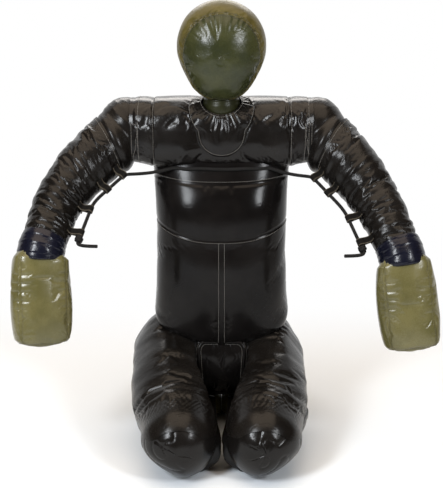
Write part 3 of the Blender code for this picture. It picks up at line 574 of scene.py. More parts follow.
def hose(name, path, radius, material, sides=12):
    """A round piece along a path, closed at both ends with a small dome."""
    path = np.asarray(path, float)
    heading, a, b = frames_on(path)
    rise = radius * DOME_RISE
    path = np.vstack([path[:1] - heading[:1] * rise, path, path[-1:] + heading[-1:] * rise])
    a, b = np.vstack([a[:1], a, a[-1:]]), np.vstack([b[:1], b, b[-1:]])
    radii = np.full((len(path), 1, 1), radius)
    radii[[0, -1]] = radius * DOME_RIM
    skin = Skin(name, path[:, None] + radii * spokes(around(sides), a[:, None], b[:, None]), centre=path[:, None])
    skin.N = skin.normals()
    return sleeve(name, skin, material, sink=(0.0, 0.0))


def dress(obj, body, slot, *nodes, fill=None):
    """Ride on one body when body is a name; when body is (first, second, start, end), the piece is only fixed where it
    stands.
    """
    if isinstance(body, str):
        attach(obj, body)
    else:
        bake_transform(obj)
    if nodes:
        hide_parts(*nodes)
    return obj


# ---------------------------------------------------------------- stitches
def stitch_tree():
    """Stitches set along the edges of a wire, sized by named inputs."""
    tree = bpy.data.node_groups.new("seam_stitches", "GeometryNodeTree")
    face = tree.interface
    face.new_socket("Wire", in_out="INPUT", socket_type="NodeSocketGeometry")
    for label in ("Pitch", "Stitch length", "Thread width"):
        face.new_socket(label, in_out="INPUT", socket_type="NodeSocketFloat")
    face.new_socket("Thread", in_out="INPUT", socket_type="NodeSocketMaterial")
    face.new_socket("Stitches", in_out="OUTPUT", socket_type="NodeSocketGeometry")

    def node(kind, sockets=None, **settings):
        return add_node(tree, kind, settings, sockets).outputs

    given = node("NodeGroupInput")
    width = given["Thread width"]
    line = node("GeometryNodeMeshToCurve", {"Mesh": given["Wire"]})[0]
    spaced = node("GeometryNodeResampleCurve", {"Curve": line, "Length": given["Pitch"]}, mode="LENGTH")[0]
    bead = node("GeometryNodeMeshUVSphere", {"Segments": 6, "Rings": 4, "Radius": 0.5})[0]
    along = node("GeometryNodeInputTangent")[0]
    turn = node("FunctionNodeAlignRotationToVector", {"Vector": along}, axis="Z")[0]
    size = node("ShaderNodeCombineXYZ", {"X": width, "Y": width, "Z": given["Stitch length"]})[0]
    placed = node("GeometryNodeInstanceOnPoints",
                  {"Points": spaced, "Instance": bead, "Rotation": turn, "Scale": size})[0]
    real = node("GeometryNodeRealizeInstances", {"Geometry": placed})[0]
    threaded = node("GeometryNodeSetMaterial", {"Geometry": real, "Material": given["Thread"]})[0]
    node("NodeGroupOutput", {0: threaded})
    return tree


STITCHES = stitch_tree()


def sew(name, paths, material, body, slot, pitch=0.0042, length=0.0031, width=0.0011):
    """One mesh of stitches along several paths, on one body."""
    verts, edges = [], []
    for path in paths:
        first = len(verts)
        verts += (np.asarray(path) + SHIFT).tolist()
        edges += [(first + i, first + i + 1) for i in range(len(path) - 1)]
    wire = bpy.data.meshes.new(name + "_wire")
    wire.from_pydata(verts, edges, [])
    obj = show(name, wire)
    modifier = obj.modifiers.new("stitches", "NODES")
    modifier.node_group = STITCHES
    names = {item.name: item.identifier for item in STITCHES.interface.items_tree if item.in_out == "INPUT"}
    for label, value in (("Pitch", pitch), ("Stitch length", length), ("Thread width", width),
                         ("Thread", material)):
        modifier[names[label]] = value
    bpy.context.view_layer.update()
    graph = bpy.context.evaluated_depsgraph_get()
    mesh = bpy.data.meshes.new_from_object(obj.evaluated_get(graph))
    obj.modifiers.remove(modifier)
    obj.data = mesh
    mesh.shade_smooth()
    return dress(obj, body, slot)


# ---------------------------------------------------------------- arms
ARM = {"right": {"elbow": (-0.36769, -0.10225, 0.63397), "wrist": (-0.40959, -0.22393, 0.50527)},
       "left": {"elbow": (0.35328, -0.10921, 0.62524), "wrist": (0.40963, -0.21980, 0.49214)}}
ARM_ROWS, ARM_COLS = 88, 92
ARM_END = 0.020          # cover's end before the wrist
ELBOW_BEND = 0.085       # how far from the elbow the arm starts to bend
SEAM_OUT, SEAM_IN = 0.030, 0.085
SHOULDER_BALL = 0.0772
TAPE_BACK = 0.034        # where the tape starts, before the wrist
ARM_SIZES = ([0, 0.03, 0.10, 0.20, 0.24, 0.37], [0.0703, 0.0703, 0.0675, 0.0585, 0.0550, 0.0475])


class ArmLine:
    """Rounded line from the shoulder through the elbow to the wrist, with axes at each run along it."""

    def __init__(self, side):
        self.side, sign = side, SIDES[side]
        self.shoulder = np.array((sign * SHOULDER_X, 0.0, SHOULDER_Z))
        self.elbow, self.wrist = np.array(ARM[side]["elbow"]), np.array(ARM[side]["wrist"])
        self.upper, self.fore = unit(self.elbow - self.shoulder), unit(self.wrist - self.elbow)
        self.across = unit(np.cross(self.upper, self.fore))
        a, b = self.elbow - self.upper * ELBOW_BEND, self.elbow + self.fore * ELBOW_BEND
        curve = bow(a, self.elbow, b, np.linspace(0, 1, 40)[:, None])
        points = np.vstack([np.linspace(self.shoulder, a, 30)[:-1], curve, np.linspace(b, self.wrist, 30)[1:]])
        self.points = along_path(points, 200)
        self.length = path_length(self.points)
        self.run = np.linspace(0, self.length, 200)
        self.heading = unit(np.gradient(self.points, axis=0))
        self.up = unit(np.cross(self.heading, self.across))

    def at(self, s):
        return read_off(s, self.run, self.points)

    def up_at(self, s):
        return unit(read_off(s, self.run, self.up))

    def seam(self):
        """Plane of the arm's top seam: a point on it and its direction."""
        slope = (SEAM_IN - SEAM_OUT) / 2 / ARM_SIZES[1][0]
        return (self.shoulder + self.upper * (SEAM_OUT + SEAM_IN) / 2,
                unit(self.upper + slope * np.cross(self.upper, self.across)))

    def shoulder_blend(self):
        start, out = self.seam()
        return "shoulder_" + self.side, "upper_arm_" + self.side, start, start + out * 0.055

    def elbow_blend(self):
        return "upper_arm_" + self.side, "forearm_" + self.side, self.at(0.165), self.at(0.255)


def slack(path, pins, share):
    """Spare length sewn in along a cover's rows, none of it where the cover is held."""
    step = np.diff(path, axis=0) * (1 - pins[1:, :, None]) ** 3
    return share * np.concatenate([np.zeros((1,) + path.shape[1:]), np.cumsum(step, axis=0)])


def top_seam(angle):
    """Distance of the arm's slanting top seam from the shoulder."""
    return lerp(SEAM_OUT, SEAM_IN, 0.5 - 0.5 * np.sin(angle))


def arm_skin(line):
    """Upper arm and forearm in one cover, with spare length that gathers into folds."""
    angle = around(ARM_COLS)
    t = np.linspace(0, 1, ARM_ROWS)[:, None]
    s = top_seam(angle)[None] * (1 - t) + (line.length - ARM_END) * t
    radius = np.interp(s, *ARM_SIZES)[..., None]
    P = line.at(s) + radius * spokes(angle, line.across, line.up_at(s))
    row = np.arange(ARM_ROWS)
    pins = np.maximum(1 - ease((row - 1) / 9), ease((row - ARM_ROWS + 8) / 7))[:, None] * np.ones(ARM_COLS)
    seed, shape = by_side(line.side, 3, 8), P.shape[:2]
    fold = 0.0013 * smooth_noise(shape, (34, 5), seed) + 0.0014 * smooth_noise(shape, (15, 3), seed + 1)
    fold *= 1 - pins
    return Skin("arm_" + line.side, P, pins=pins, fold=fold, grow=0.03, cap=0.009,
                spare=slack(line.at(s), pins, 0.17))


def cap_skin(line):
    """Shoulder ball that turns in the yoke's open end, drawn out to the arm's top seam."""
    angle = around(ARM_COLS)
    start = top_seam(angle)
    tube = ARM_SIZES[1][0]
    t = np.linspace(0, 1, 44)[:, None]
    alpha = lerp(math.radians(178), np.arctan2(tube, start)[None], t)
    side = np.where(alpha < math.pi / 2, tube / np.maximum(np.sin(alpha), 1e-3), 0)
    rho = lerp(np.maximum(SHOULDER_BALL, side), np.hypot(tube, start)[None], ease((t - 0.86) / 0.14))
    slope = np.clip(np.sin(angle), 0, 1)[None] ** 2 * bump((alpha - math.radians(78)) / math.radians(46))
    rho = rho - 0.009 * slope
    up = np.cross(line.upper, line.across)
    P = line.shoulder + rho[..., None] * spokes(alpha, line.upper, spokes(angle, line.across, up))
    creases = np.abs(smooth_noise(P.shape[:2], (9, 5), by_side(line.side, 21, 22)))
    fold = -0.0014 * creases * ease((t - 0.25) / 0.2) * (1 - ease((t - 0.9) / 0.1))
    return Skin("cap_" + line.side, P, fold=fold)


# where each mitt points and which way it is wide
MITT = {"right": {"hand": unit((0.02332, -0.18938, -0.98163)), "width": np.array((0.94156, 0.3342, -0.04217))},
        "left": {"hand": unit((0.11626, -0.17237, -0.97815)), "width": np.array((0.99262, -0.01394, 0.12044))}}
MITT_LENGTH = 0.216
MITT_BEND, MITT_END = 0.030, 0.214     # from the wrist to where the mitt runs straight and to its end
TAPE_ON = 0.019                        # how far the tape goes on past the wrist


def mitt_skin(line):
    """A boxy padded bag hung on the wrist, its mouth tucked into the tape."""
    hand, width = MITT[line.side]["hand"], MITT[line.side]["width"]
    width = unit(width - hand * np.dot(width, hand))
    curve = bow(line.wrist - line.fore * TAPE_BACK, line.wrist - line.fore * 0.004, line.wrist + hand * MITT_BEND,
                np.linspace(0, 1, 24)[:, None])
    straight = np.linspace(line.wrist + hand * (MITT_BEND + 0.004), line.wrist + hand * MITT_END, 40)
    points = along_path(np.vstack([curve, straight]), 200)
    run = np.linspace(0, path_length(points), 200)
    heading = unit(np.gradient(points, axis=0))
    rows, cols = 74, 84
    share = np.linspace(0, 1, rows)
    total = run[-1]
    # the bottom closes round: rows bunch up there
    s = total * (1 - (1 - share) ** 1.25)
    angle = around(cols, 0.5)
    mouth = total - MITT_LENGTH
    stations = [0, mouth * 0.8, mouth + 0.008, mouth + 0.020, mouth + 0.06, mouth + 0.13, mouth + 0.185, total]
    wide = np.interp(s, stations, [0.0445, 0.0450, 0.0500, 0.0605, 0.0625, 0.0640, 0.0625, 0.058])
    thick = np.interp(s, stations, [0.0445, 0.0440, 0.0425, 0.0430, 0.0420, 0.0415, 0.0405, 0.038])
    close = np.sqrt(np.maximum(0, 1 - np.clip((s - (total - 0.020)) / 0.020, 0, 1) ** 2.6))
    close = np.maximum(close, 0.03)
    square = np.interp(s, [0, mouth, mouth + 0.02, total], [2.0, 2.6, 3.7, 3.7])
    C, H = read_off(s, run, points), unit(read_off(s, run, heading))
    W = unit(width[None] - H * (H @ width)[:, None])
    D = np.cross(H, W)
    a, b = ring(angle[None], (wide * close)[:, None], (thick * close)[:, None], square[:, None])
    P = C[:, None] + a[..., None] * W[:, None] + b[..., None] * D[:, None]
    slope = 0.030 * bump((s - mouth - 0.012) / 0.095)[:, None] * np.clip(-b / thick[:, None], 0, 1)
    P = P + slope[..., None] * H[:, None]
    corner = np.abs(np.abs(np.cos(angle)) ** (2 / 4.2) - np.abs(np.sin(angle)) ** (2 / 4.2)) < 0.06
    pins = np.zeros(P.shape[:2])
    inside = (s > mouth + 0.006)
    pins[np.ix_(inside, corner)] = 0.9
    bottom = np.argmin(np.abs(s - (total - 0.006)))
    pins[bottom] = np.where(np.abs(np.cos(angle)) < 0.999, 0.9, 0)
    pins[:3] = 1
    seed, dent = by_side(line.side, (31, 0.0016), (36, 0.0008))
    sewn = pins > 0.5
    fold = -0.0026 * sewn * inside[:, None] + 0.0012 * smooth_noise(P.shape[:2], (7, 6), seed) * (1 - sewn)
    dents = np.clip(np.sin(s / 0.019 * TAU + seed), 0, 1)[:, None] ** 2 * bump((s[:, None] - mouth - 0.075) / 0.075)
    fold -= dent * dents * bump((np.abs(a) / wide[:, None] - 0.72) / 0.34) * (1 - sewn)
    skin = Skin("mitt_" + line.side, P, pins=pins, fold=fold, grow=0.012, pressure=9.0, cap=0.009)
    skin.corners, skin.bottom, skin.inside = np.flatnonzero(corner), bottom, np.flatnonzero(inside)
    return skin


def tape_skin(line):
    """Tape wound over the end of the forearm, one turn lapping the next."""
    rows, cols = 30, 72
    hand = MITT[line.side]["hand"]
    C = bow(line.wrist - line.fore * TAPE_BACK, line.wrist - line.fore * 0.002, line.wrist + hand * TAPE_ON,
            np.linspace(0, 1, rows)[:, None])
    heading = unit(np.gradient(C, axis=0))
    side = unit(line.across - heading * (heading @ line.across)[:, None])
    up = np.cross(heading, side)
    angle = around(cols)
    lap = (distances(C)[:, None] / 0.014 + angle[None] / TAU) % 1.0
    belly = np.sin(np.linspace(0, math.pi, rows))[:, None]
    crush = smooth_noise((rows, cols), (5, 9), by_side(line.side, 41, 42))
    radius = 0.0508 + 0.0020 * belly + 0.0009 * lap + 0.0009 * crush
    radius[0] -= 0.004
    radius[-1] -= 0.003
    return Skin("tape_" + line.side, C[:, None] + radius[..., None] * spokes(angle, side[:, None], up[:, None]))


# ---------------------------------------------------------------- yoke and collar
YOKE_HALF = 0.217
YOKE_ROWS, YOKE_COLS = 96, 104
YOKE_DEPTH, YOKE_SIZE = 0.105, 0.080
YOKE_TOP = math.radians(90) + math.asin(0.050 / YOKE_DEPTH)      # angle round the yoke of the neck's middle
YOKE_SEAM = 0.160
NECK_ROOM = 0.0475       # radius of the yoke's dish and the bib's hole


def yoke_place(x, angle, grow=0.0):
    """Points on the yoke by distance across and angle round it: deep in the middle, fuller below."""
    share = np.minimum(1.0, np.abs(x) / YOKE_HALF) ** 2
    squareness = np.where(np.sin(angle) < 0, 3.6, 2.5)
    y, z = ring(angle, lerp(YOKE_DEPTH, YOKE_SIZE, share) + grow, YOKE_SIZE + grow, squareness)
    z = np.where(z < 0, z * (1 + 0.20 * (1 - ease((np.abs(x) - 0.13) / 0.09))), z)
    return np.stack(np.broadcast_arrays(x, y, SHOULDER_Z + z), -1)


def bib_edge(angle):
    """Radius of the bib's outline round the neck, seen flat."""
    c, s = np.cos(angle), np.sin(angle)
    a, b, drop = 0.078, 0.086, 0.030
    qa = (c / a) ** 2 + (s / b) ** 2
    qb = -2 * s * drop / b ** 2
    qc = (drop / b) ** 2 - 1
    return (-qb + np.sqrt(qb ** 2 - 4 * qa * qc)) / (2 * qa)


# folds pulled across the yoke from the bib: start and end (across, down from the neck), width, height
YOKE_CREASES = (((-0.070, 0.045), (-0.150, 0.020), 0.010, 0.0045), ((-0.076, 0.070), (-0.155, 0.075), 0.012, -0.0045),
                ((-0.052, 0.100), (-0.105, 0.125), 0.009, 0.0045), ((-0.040, 0.112), (-0.066, 0.150), 0.008, -0.0039),
                ((0.078, 0.060), (0.140, 0.040), 0.011, -0.0042), ((0.070, 0.084), (0.150, 0.100), 0.012, 0.0045),
                ((0.046, 0.108), (0.088, 0.150), 0.009, -0.0039), ((0.170, 0.030), (0.176, 0.120), 0.008, -0.0036),
                ((-0.170, 0.040), (-0.178, 0.120), 0.008, -0.0036))


def drawn_crease(x, arc, start, end, width, height):
    """One soft fold between two spots, fading towards both ends."""
    run = np.subtract(end, start)
    long = np.linalg.norm(run)
    share = ((x - start[0]) * run[0] + (arc - start[1]) * run[1]) / long ** 2
    off = ((x - start[0]) * run[1] - (arc - start[1]) * run[0]) / long + 0.006 * np.sin(share * 4)
    return height * np.exp(-(off / width) ** 2) * bump((share - 0.45) / 0.6)


def yoke_skin():
    x = np.linspace(-YOKE_HALF, YOKE_HALF, YOKE_ROWS)[:, None]
    angle = around(YOKE_COLS)[None]
    P = yoke_place(x, angle, -0.004)
    pins = np.zeros(P.shape[:2])
    pins[:3] = pins[-3:] = 1
    spots = [int(np.argmin(np.abs(x[:, 0] - place))) for place in (-YOKE_SEAM, YOKE_SEAM)]
    fold = 0.0014 * smooth_noise(P.shape[:2], (7, 6), 52)
    arc = (angle - YOKE_TOP) * YOKE_SIZE
    fold += sum(drawn_crease(x, arc, *ends) for ends in YOKE_CREASES)
    for spot in spots:
        pins[spot] = 1
        fold[spot] = -0.0016
    under = np.hypot(x, arc) < bib_edge(np.arctan2(arc, x)) - 0.004
    pins[under] = 1
    fold[under] = 0
    base = np.abs(np.sin(angle) + 1) < 0.06
    pins[np.broadcast_to(base, pins.shape)] = 1
    fold[(pins > 0.99) & (fold > -0.0015)] *= 0.001      # only the seams stay drawn in where the cover is held
    skin = Skin("yoke", P, pins=pins, fold=fold, grow=0.016, cap=0.007)
    skin.seams = [2 * spot for spot in spots]
    return skin


def neck_socket(skin):
    """Dish the yoke round the neck ball."""
    away = skin.P - NECK_BALL
    flat = np.linalg.norm(away[..., :2], axis=-1)
    inside = (flat < NECK_ROOM) & (away[..., 2] > -NECK_ROOM)
    floor = NECK_BALL[2] - np.sqrt(np.maximum(0, NECK_ROOM ** 2 - flat ** 2))
    skin.P[..., 2] = np.where(inside, np.minimum(skin.P[..., 2], floor), skin.P[..., 2])
    skin.N = skin.normals()


def bib_skin():
    """Collar patch laid on the yoke round the neck, gathered in front."""
    rows, cols = 26, 120
    angle = around(cols)[None]
    t = np.linspace(0, 1, rows)[:, None]
    radius = lerp(NECK_ROOM, bib_edge(angle), t)
    front = np.clip(np.sin(angle), 0, 1)
    P = yoke_place(radius * np.cos(angle), YOKE_TOP + radius * np.sin(angle) / YOKE_SIZE, 0.0012)
    gather = np.sin(angle * 30 + 0.8 * np.sin(angle * 5)) * (1 - ease(t / 0.8)) * front ** 6
    crease = np.sin(angle * 9 + 2.0 * t) * ease(t / 0.3) * (1 - ease((t - 0.7) / 0.3)) * front
    fold = 0.0010 * gather + 0.0008 * crease + 0.0005 * smooth_noise((rows, cols), (4, 9), 61)
    pins = np.zeros((rows, cols))
    pins[:2] = pins[-2:] = 1
    fold[-2:] = [[-0.0022], [-0.0034]]
    return Skin("bib", P, pins=pins, fold=fold, grow=0.03, cap=0.004, pressure=3.0, centre=(0, 0, SHOULDER_Z))


# ---------------------------------------------------------------- trunk
TRUNK_COLS, BELLY_ROWS, CHEST_ROWS = 160, 50, 36
TRUNK_TOP = 0.677
TRUNK_RISE = 0.562       # from the hips to the shoulders' axis
SEAT_SIZE = 0.125        # radius of the crotch and seat panels about the hips
KNEE_Y, KNEE_Z = -0.305, 0.0855


def trunk_place(angle, z, inset=0.0):
    share = (z - HIP_Z) / TRUNK_RISE
    x, y = ring(angle, quad(0.164, 0.156, 0.166, share) - inset, quad(0.118, 0.124, 0.060, share) - inset, 2.6)
    return np.stack(np.broadcast_arrays(x, y, z), -1)


def chest_seam(angle):
    return 0.506 + 0.038 * np.cos(angle) ** 2


def hem(angle):
    """Lower edge of the trunk: over the thighs, down to the crotch panel in front and the seat behind."""
    place = trunk_place(angle, np.full_like(angle, HIP_Z + 0.1004))
    reach, slope = 0.101, (HIP_Z - KNEE_Z) / (HIP_Y - KNEE_Y)
    back = place[..., 1] - HIP_Y
    rear = np.where(np.abs(place[..., 0]) < 0.095, HIP_Z - SEAT_SIZE * math.sin(math.radians(219)) + 0.0014,
                    HIP_Z + np.sqrt(np.maximum(0, reach ** 2 - back ** 2)))
    front = np.where(np.abs(place[..., 0]) < 0.066, HIP_Z + 0.0474,
                     HIP_Z + reach * math.sqrt(1 + slope ** 2) + back * slope)
    return np.where(back > 0, rear, front)


def trunk_skin():
    """Belly and chest in one cover, held along their seams."""
    angle = around(TRUNK_COLS)
    low = hem(angle)
    for _ in range(12):
        low = 0.25 * np.roll(low, 1) + 0.5 * low + 0.25 * np.roll(low, -1)
    low = low - 0.004
    seam = chest_seam(angle)
    a = np.linspace(0, 1, BELLY_ROWS)[:-1, None]
    b = np.linspace(0, 1, CHEST_ROWS)[:, None]
    z = np.vstack([lerp(low[None], seam[None], a), lerp(seam[None], TRUNK_TOP + 0.038, b)])
    P = trunk_place(angle[None], z, -0.0030)
    facing = np.clip(-np.sin(angle), 0, 1)[None]
    under = np.clip((low + 0.20 - z) / 0.20, 0, 1) ** 1.6
    P[..., 0] *= 1 + 0.04 * under
    P[..., 1] *= 1 - 0.20 * ease(0.5 - 2 * np.sin(angle)) * under
    P[..., 1] -= 0.014 * facing ** 0.7 * bump((z - 0.580) / 0.10)
    rows = len(z)
    chest = BELLY_ROWS - 1
    middle, left, right = int(0.75 * TRUNK_COLS), 0, TRUNK_COLS // 2
    pins = np.zeros((rows, TRUNK_COLS))
    fold = 0.0012 * smooth_noise(pins.shape, (8, 7), 72)
    fold[:5] -= 0.006 * (1 - np.arange(5) / 5)[:, None] ** 2
    front = np.arange(TRUNK_COLS) > right
    upper = int(np.argmin(np.abs(z[:, middle] - 0.640)))
    pins[:chest, front] = 0.10
    pins[upper:, front] = 0.6
    pins[upper, front], fold[upper, front] = 0.9, -0.0016
    pins[chest, front], fold[chest, front] = 1, -0.0020
    pins[:chest, middle], fold[:chest, middle] = 1, -0.0014
    for col in (left, right):
        pins[:, col], fold[:, col] = 1, -0.0020
    pins[:2] = pins[-4:] = 1
    skin = Skin("trunk", P, pins=pins, fold=fold, grow=0.003, cap=0.0085)
    skin.chest, skin.upper = 2 * chest, 2 * upper
    skin.middle, skin.left, skin.right = 2 * middle, 2 * left, 2 * right
    return skin


def drum_place(x, angle, radius):
    return np.stack(np.broadcast_arrays(x, HIP_Y - radius * np.cos(angle), HIP_Z - radius * np.sin(angle)), -1)


def edge_pins(rows, cols):
    """Hold a panel along its four edges."""
    pins = np.zeros((rows, cols))
    pins[:2] = pins[-2:] = 1
    pins[:, :2] = pins[:, -2:] = 1
    return pins


def crotch_skin():
    """Tapered panel between the thighs, curved round the hips; only its piping is rounded at the top corners."""
    rows, cols = 44, 40
    t = np.linspace(0, 1, rows)[:, None]
    u = np.linspace(-1, 1, cols)[None]
    angle = lerp(-math.asin(0.046 / SEAT_SIZE) - 0.16, math.radians(57), t)
    P = drum_place(lerp(0.0625, 0.0535, ease(t)) * u, angle, SEAT_SIZE - 0.0015)
    fold = 0.0004 * smooth_noise((rows, cols), (4, 3), 81, False)
    fold[0] = fold[-1] = -0.004
    fold[:, 0] = fold[:, -1] = -0.004
    return Skin("crotch", P, closed=False, pins=edge_pins(rows, cols), fold=fold, grow=0.012, cap=0.004)


def seat_skin():
    """Panel under the trunk from the crotch to the back, its long edges rolled in."""
    rows, cols = 64, 34
    t = np.linspace(0, 1, rows)[:, None]
    u = np.linspace(-1, 1, cols)[None]
    P = drum_place(0.0605 * u, lerp(math.radians(57.5), math.radians(217), t), SEAT_SIZE - 0.0025)
    fold = 0.0012 * smooth_noise((rows, cols), (12, 5), 82, False)
    fold[0] = fold[-1] = -0.004
    for col, drop in enumerate((0.014, 0.0075, 0.0035, 0.001)):
        fold[:, col] = fold[:, -1 - col] = -drop
    return Skin("seat", P, closed=False, pins=edge_pins(rows, cols), fold=fold, grow=0.06, cap=0.0022)


# ---------------------------------------------------------------- head and neck
HEAD = np.array((0.0, -0.066, 0.9584))
HEAD_WIDE, HEAD_DEEP, HEAD_TOP, CHIN = 0.1035, 0.092, 0.102, 0.131     # half sizes about the head's middle
FACE_TILT = math.radians(16)
FACE_TURN = math.radians(62)


def head_skin():
    """Head from the face's middle to the back's, with a seam on each side of the band."""
    rows, cols = 90, 108
    first = math.radians(1.2)
    turn = np.linspace(first, math.pi - first, rows)
    seams = [int(np.argmin(np.abs(turn - place))) for place in (FACE_TURN, math.pi - FACE_TURN)]
    angle = around(cols)
    x = np.sin(turn)[:, None] * np.cos(angle)[None]
    z = np.sin(turn)[:, None] * np.sin(angle)[None]
    y = np.broadcast_to(-np.cos(turn)[:, None], x.shape)
    tilt_c, tilt_s = math.cos(FACE_TILT), math.sin(FACE_TILT)
    y, z = y * tilt_c - z * tilt_s, y * tilt_s + z * tilt_c
    tall = np.where(z > 0, HEAD_TOP, CHIN - 0.012 * ease((y + 0.35) / 0.7))
    e = 2.05 + 0.30 * ease(-z / 0.6)
    size = ((np.abs(x) / HEAD_WIDE) ** e + (np.abs(y) / HEAD_DEEP) ** e + (np.abs(z) / tall) ** e) ** (-1 / e)
    P = HEAD + (size - 0.0040)[..., None] * np.stack([x, y, z], -1)
    drop = HEAD[2] - P[..., 2]
    P[..., 0] *= 1 - 0.12 * bump((drop - 0.086) / 0.07)
    pins, fold = np.zeros((rows, cols)), 0.0009 * smooth_noise((rows, cols), (12, 10), 91)
    top = np.clip(np.sin(angle), 0, 1) ** 2
    for seam in seams:
        pins[seam], fold[seam] = 1, -0.0042
    run = np.clip((seams[0] - np.arange(rows)) / seams[0], 0, 1)[:, None]
    gather = np.sin(angle * 34 + 1.5 * np.sin(angle * 7))[None] * bump(run / (0.30 + 0.25 * top)) * (run > 0.02)
    fold += 0.0013 * gather * (0.30 + 0.70 * top)[None]
    skin = Skin("head", P, pins=pins, fold=fold, grow=0.035, cap=0.0045)
    skin.seams = [2 * s for s in seams]
    return skin


def neck_skin():
    """Ball in the yoke's dish, drawn up into a short sleeve."""
    rows, cols = 60, 72
    angle = around(cols)
    ball, tube, top = 0.045, 0.039, 0.056
    narrow = math.pi - math.asin(tube / ball)
    a = np.linspace(0.06, narrow, 30)
    height = np.concatenate([-ball * np.cos(a), np.linspace(-ball * math.cos(narrow), top, 31)[1:]])
    radius = np.concatenate([ball * np.sin(a), np.full(30, tube)])
    radius = radius + 0.0010 * np.sin(height * 420) * ease(height / 0.02)
    P = NECK_BALL + np.stack(np.broadcast_arrays(radius[:, None] * np.cos(angle)[None],
                                                 radius[:, None] * np.sin(angle)[None], height[:, None]), -1)
    fold = 0.0008 * smooth_noise((rows, cols), (10, 9), 95) * ease(height / 0.03)[:, None]
    return Skin("neck", P, fold=fold)


# ---------------------------------------------------------------- legs
THIGH_ROWS, THIGH_DOME, LEG_COLS = 66, 22, 104
THIGH_SIZE, THIGH_END, HOOD_SIZE = 0.1, 0.0918, 0.0878     # radii at the hip, above the knee and over it
KNEE_X, KNEE_BALL = 0.098, 0.0868
ANKLE_X, TOE_X, FOOT_LENGTH = 0.072, 0.052, 0.235
FOOT_CUT, FOOT_TOP = 0.0695, 0.0700     # top of a foot as cut and as swollen
ON_FLOOR = 0.004                        # points lower than this are held on the floor
FOLD_Z, CALF_TOP = 0.0861, 0.0856    # underside of the thigh and top of the calf where they press together
LEG_GAP, FOOT_GAP = 0.0012, 0.0005   # room kept to the dummy's middle


def leg_places(side):
    """Hip, knee and ankle of one leg."""
    sign = SIDES[side]
    return (np.array((sign * 0.118, HIP_Y, HIP_Z)), np.array((sign * KNEE_X, KNEE_Y, KNEE_Z)),
            np.array((sign * ANKLE_X, -0.005, 0.035)))


def inner_limit(along):
    return np.interp(along, [0.14, 0.17, 0.26, 0.335], [0.0630, 0.0560, 0.0280, LEG_GAP])


def clear_thigh(P, along, side):
    """Keep a thigh off its neighbour, off the seat and above the calf."""
    keep_outside(P, SIDES[side], inner_limit(along))
    P[..., 2] = np.maximum(P[..., 2], FOLD_Z)


# each thigh: outward fullness, inward tuck at the top, height where the tuck starts and height it takes
THIGH_LEAN = {"right": (0.012, 0.009, 0.19, 0.08), "left": (0.0, 0.034, 0.14, 0.12)}


def thigh_skin(side):
    """Thigh from its round top to a hood over the knee, with spare length that gathers into folds."""
    hip, knee, _ = leg_places(side)
    sign = SIDES[side]
    length = np.linalg.norm(knee - hip)
    heading = unit(knee - hip)
    up = unit(np.cross(heading, (1.0, 0, 0)))
    across = np.cross(up, heading)
    angle = around(LEG_COLS)[None]
    turn = np.linspace(math.radians(5), math.pi / 2, THIGH_DOME)[:-1, None]
    dome = len(turn)
    t = np.linspace(0, 1, THIGH_ROWS)[:, None]
    end = length + 0.002 + 0.0890 * np.minimum(0, np.sin(angle)) + 0.052 * ease(1.4 * np.sin(angle))
    end = end - 0.012 * bump((np.sin(angle) + 0.08) / 0.35)
    along = np.vstack([np.broadcast_to(-THIGH_SIZE * np.cos(turn), (dome, LEG_COLS)), end * t])
    radius = np.vstack([np.broadcast_to(THIGH_SIZE * np.sin(turn), (dome, LEG_COLS)),
                        lerp(THIGH_SIZE, THIGH_END, np.minimum(1, along[dome:] / length))])
    radius = radius - 0.0040
    radius = radius + 0.008 * bump((along - 0.06) / 0.12) * np.clip(np.sin(angle), 0, 1)
    radius[dome:] += 0.0005 * ease((t - 0.955) / 0.045)
    past = np.maximum(0, along - length)
    over = past / 0.0875
    radius = np.where(past > 0, HOOD_SIZE * np.cos(over), radius)
    reach = np.where(past > 0, length + HOOD_SIZE * np.sin(over), along)
    P = hip + reach[..., None] * heading + radius[..., None] * spokes(angle, across, up)
    outer = np.clip(sign * (P[..., 0] - hip[0]) / 0.09, 0, 1)
    held = 1 - ease((along / length - 0.60) / 0.36)
    full, tuck, start, rise = THIGH_LEAN[side]
    low = 1 - ease((P[..., 2] - 0.1) / 0.1)
    wide = 1 - ease((P[..., 2] - 0.16) / 0.08)
    tucked = tuck * ease((P[..., 2] - start) / rise)
    P[..., 0] += sign * outer * (held * (0.006 * low + full * wide) - tucked)
    P[..., 0] -= sign * outer * 0.004 * (1 - held)
    seed, shape = by_side(side, 101, 111), along.shape
    drift = smooth_noise(shape, (6, 5), seed + 2)
    rolls = np.abs(np.sin(along / 0.027 * math.pi + 2.6 * drift)) - 0.6
    fold = 0.0016 * rolls * np.clip(0.4 + 0.9 * smooth_noise(shape, (9, 5), seed + 3), 0, 1)
    fold += 0.0012 * smooth_noise(shape, (24, 7), seed) + 0.0020 * smooth_noise(shape, (11, 4), seed + 1)
    pins = np.zeros(shape)
    pins[:14] = np.round(1 - ease(np.arange(14) / 13), 2)[:, None]
    pins[dome:] = np.round(ease((t - 0.66) / 0.30), 2)
    fold *= (1 - pins) ** 2
    clear_thigh(P, along, side)
    skin = Skin("thigh_" + side, P, pins=pins, fold=fold, grow=0.03, cap=0.010,
                spare=slack(reach[..., None] * heading, pins, 0.15))
    skin.along = along
    return skin


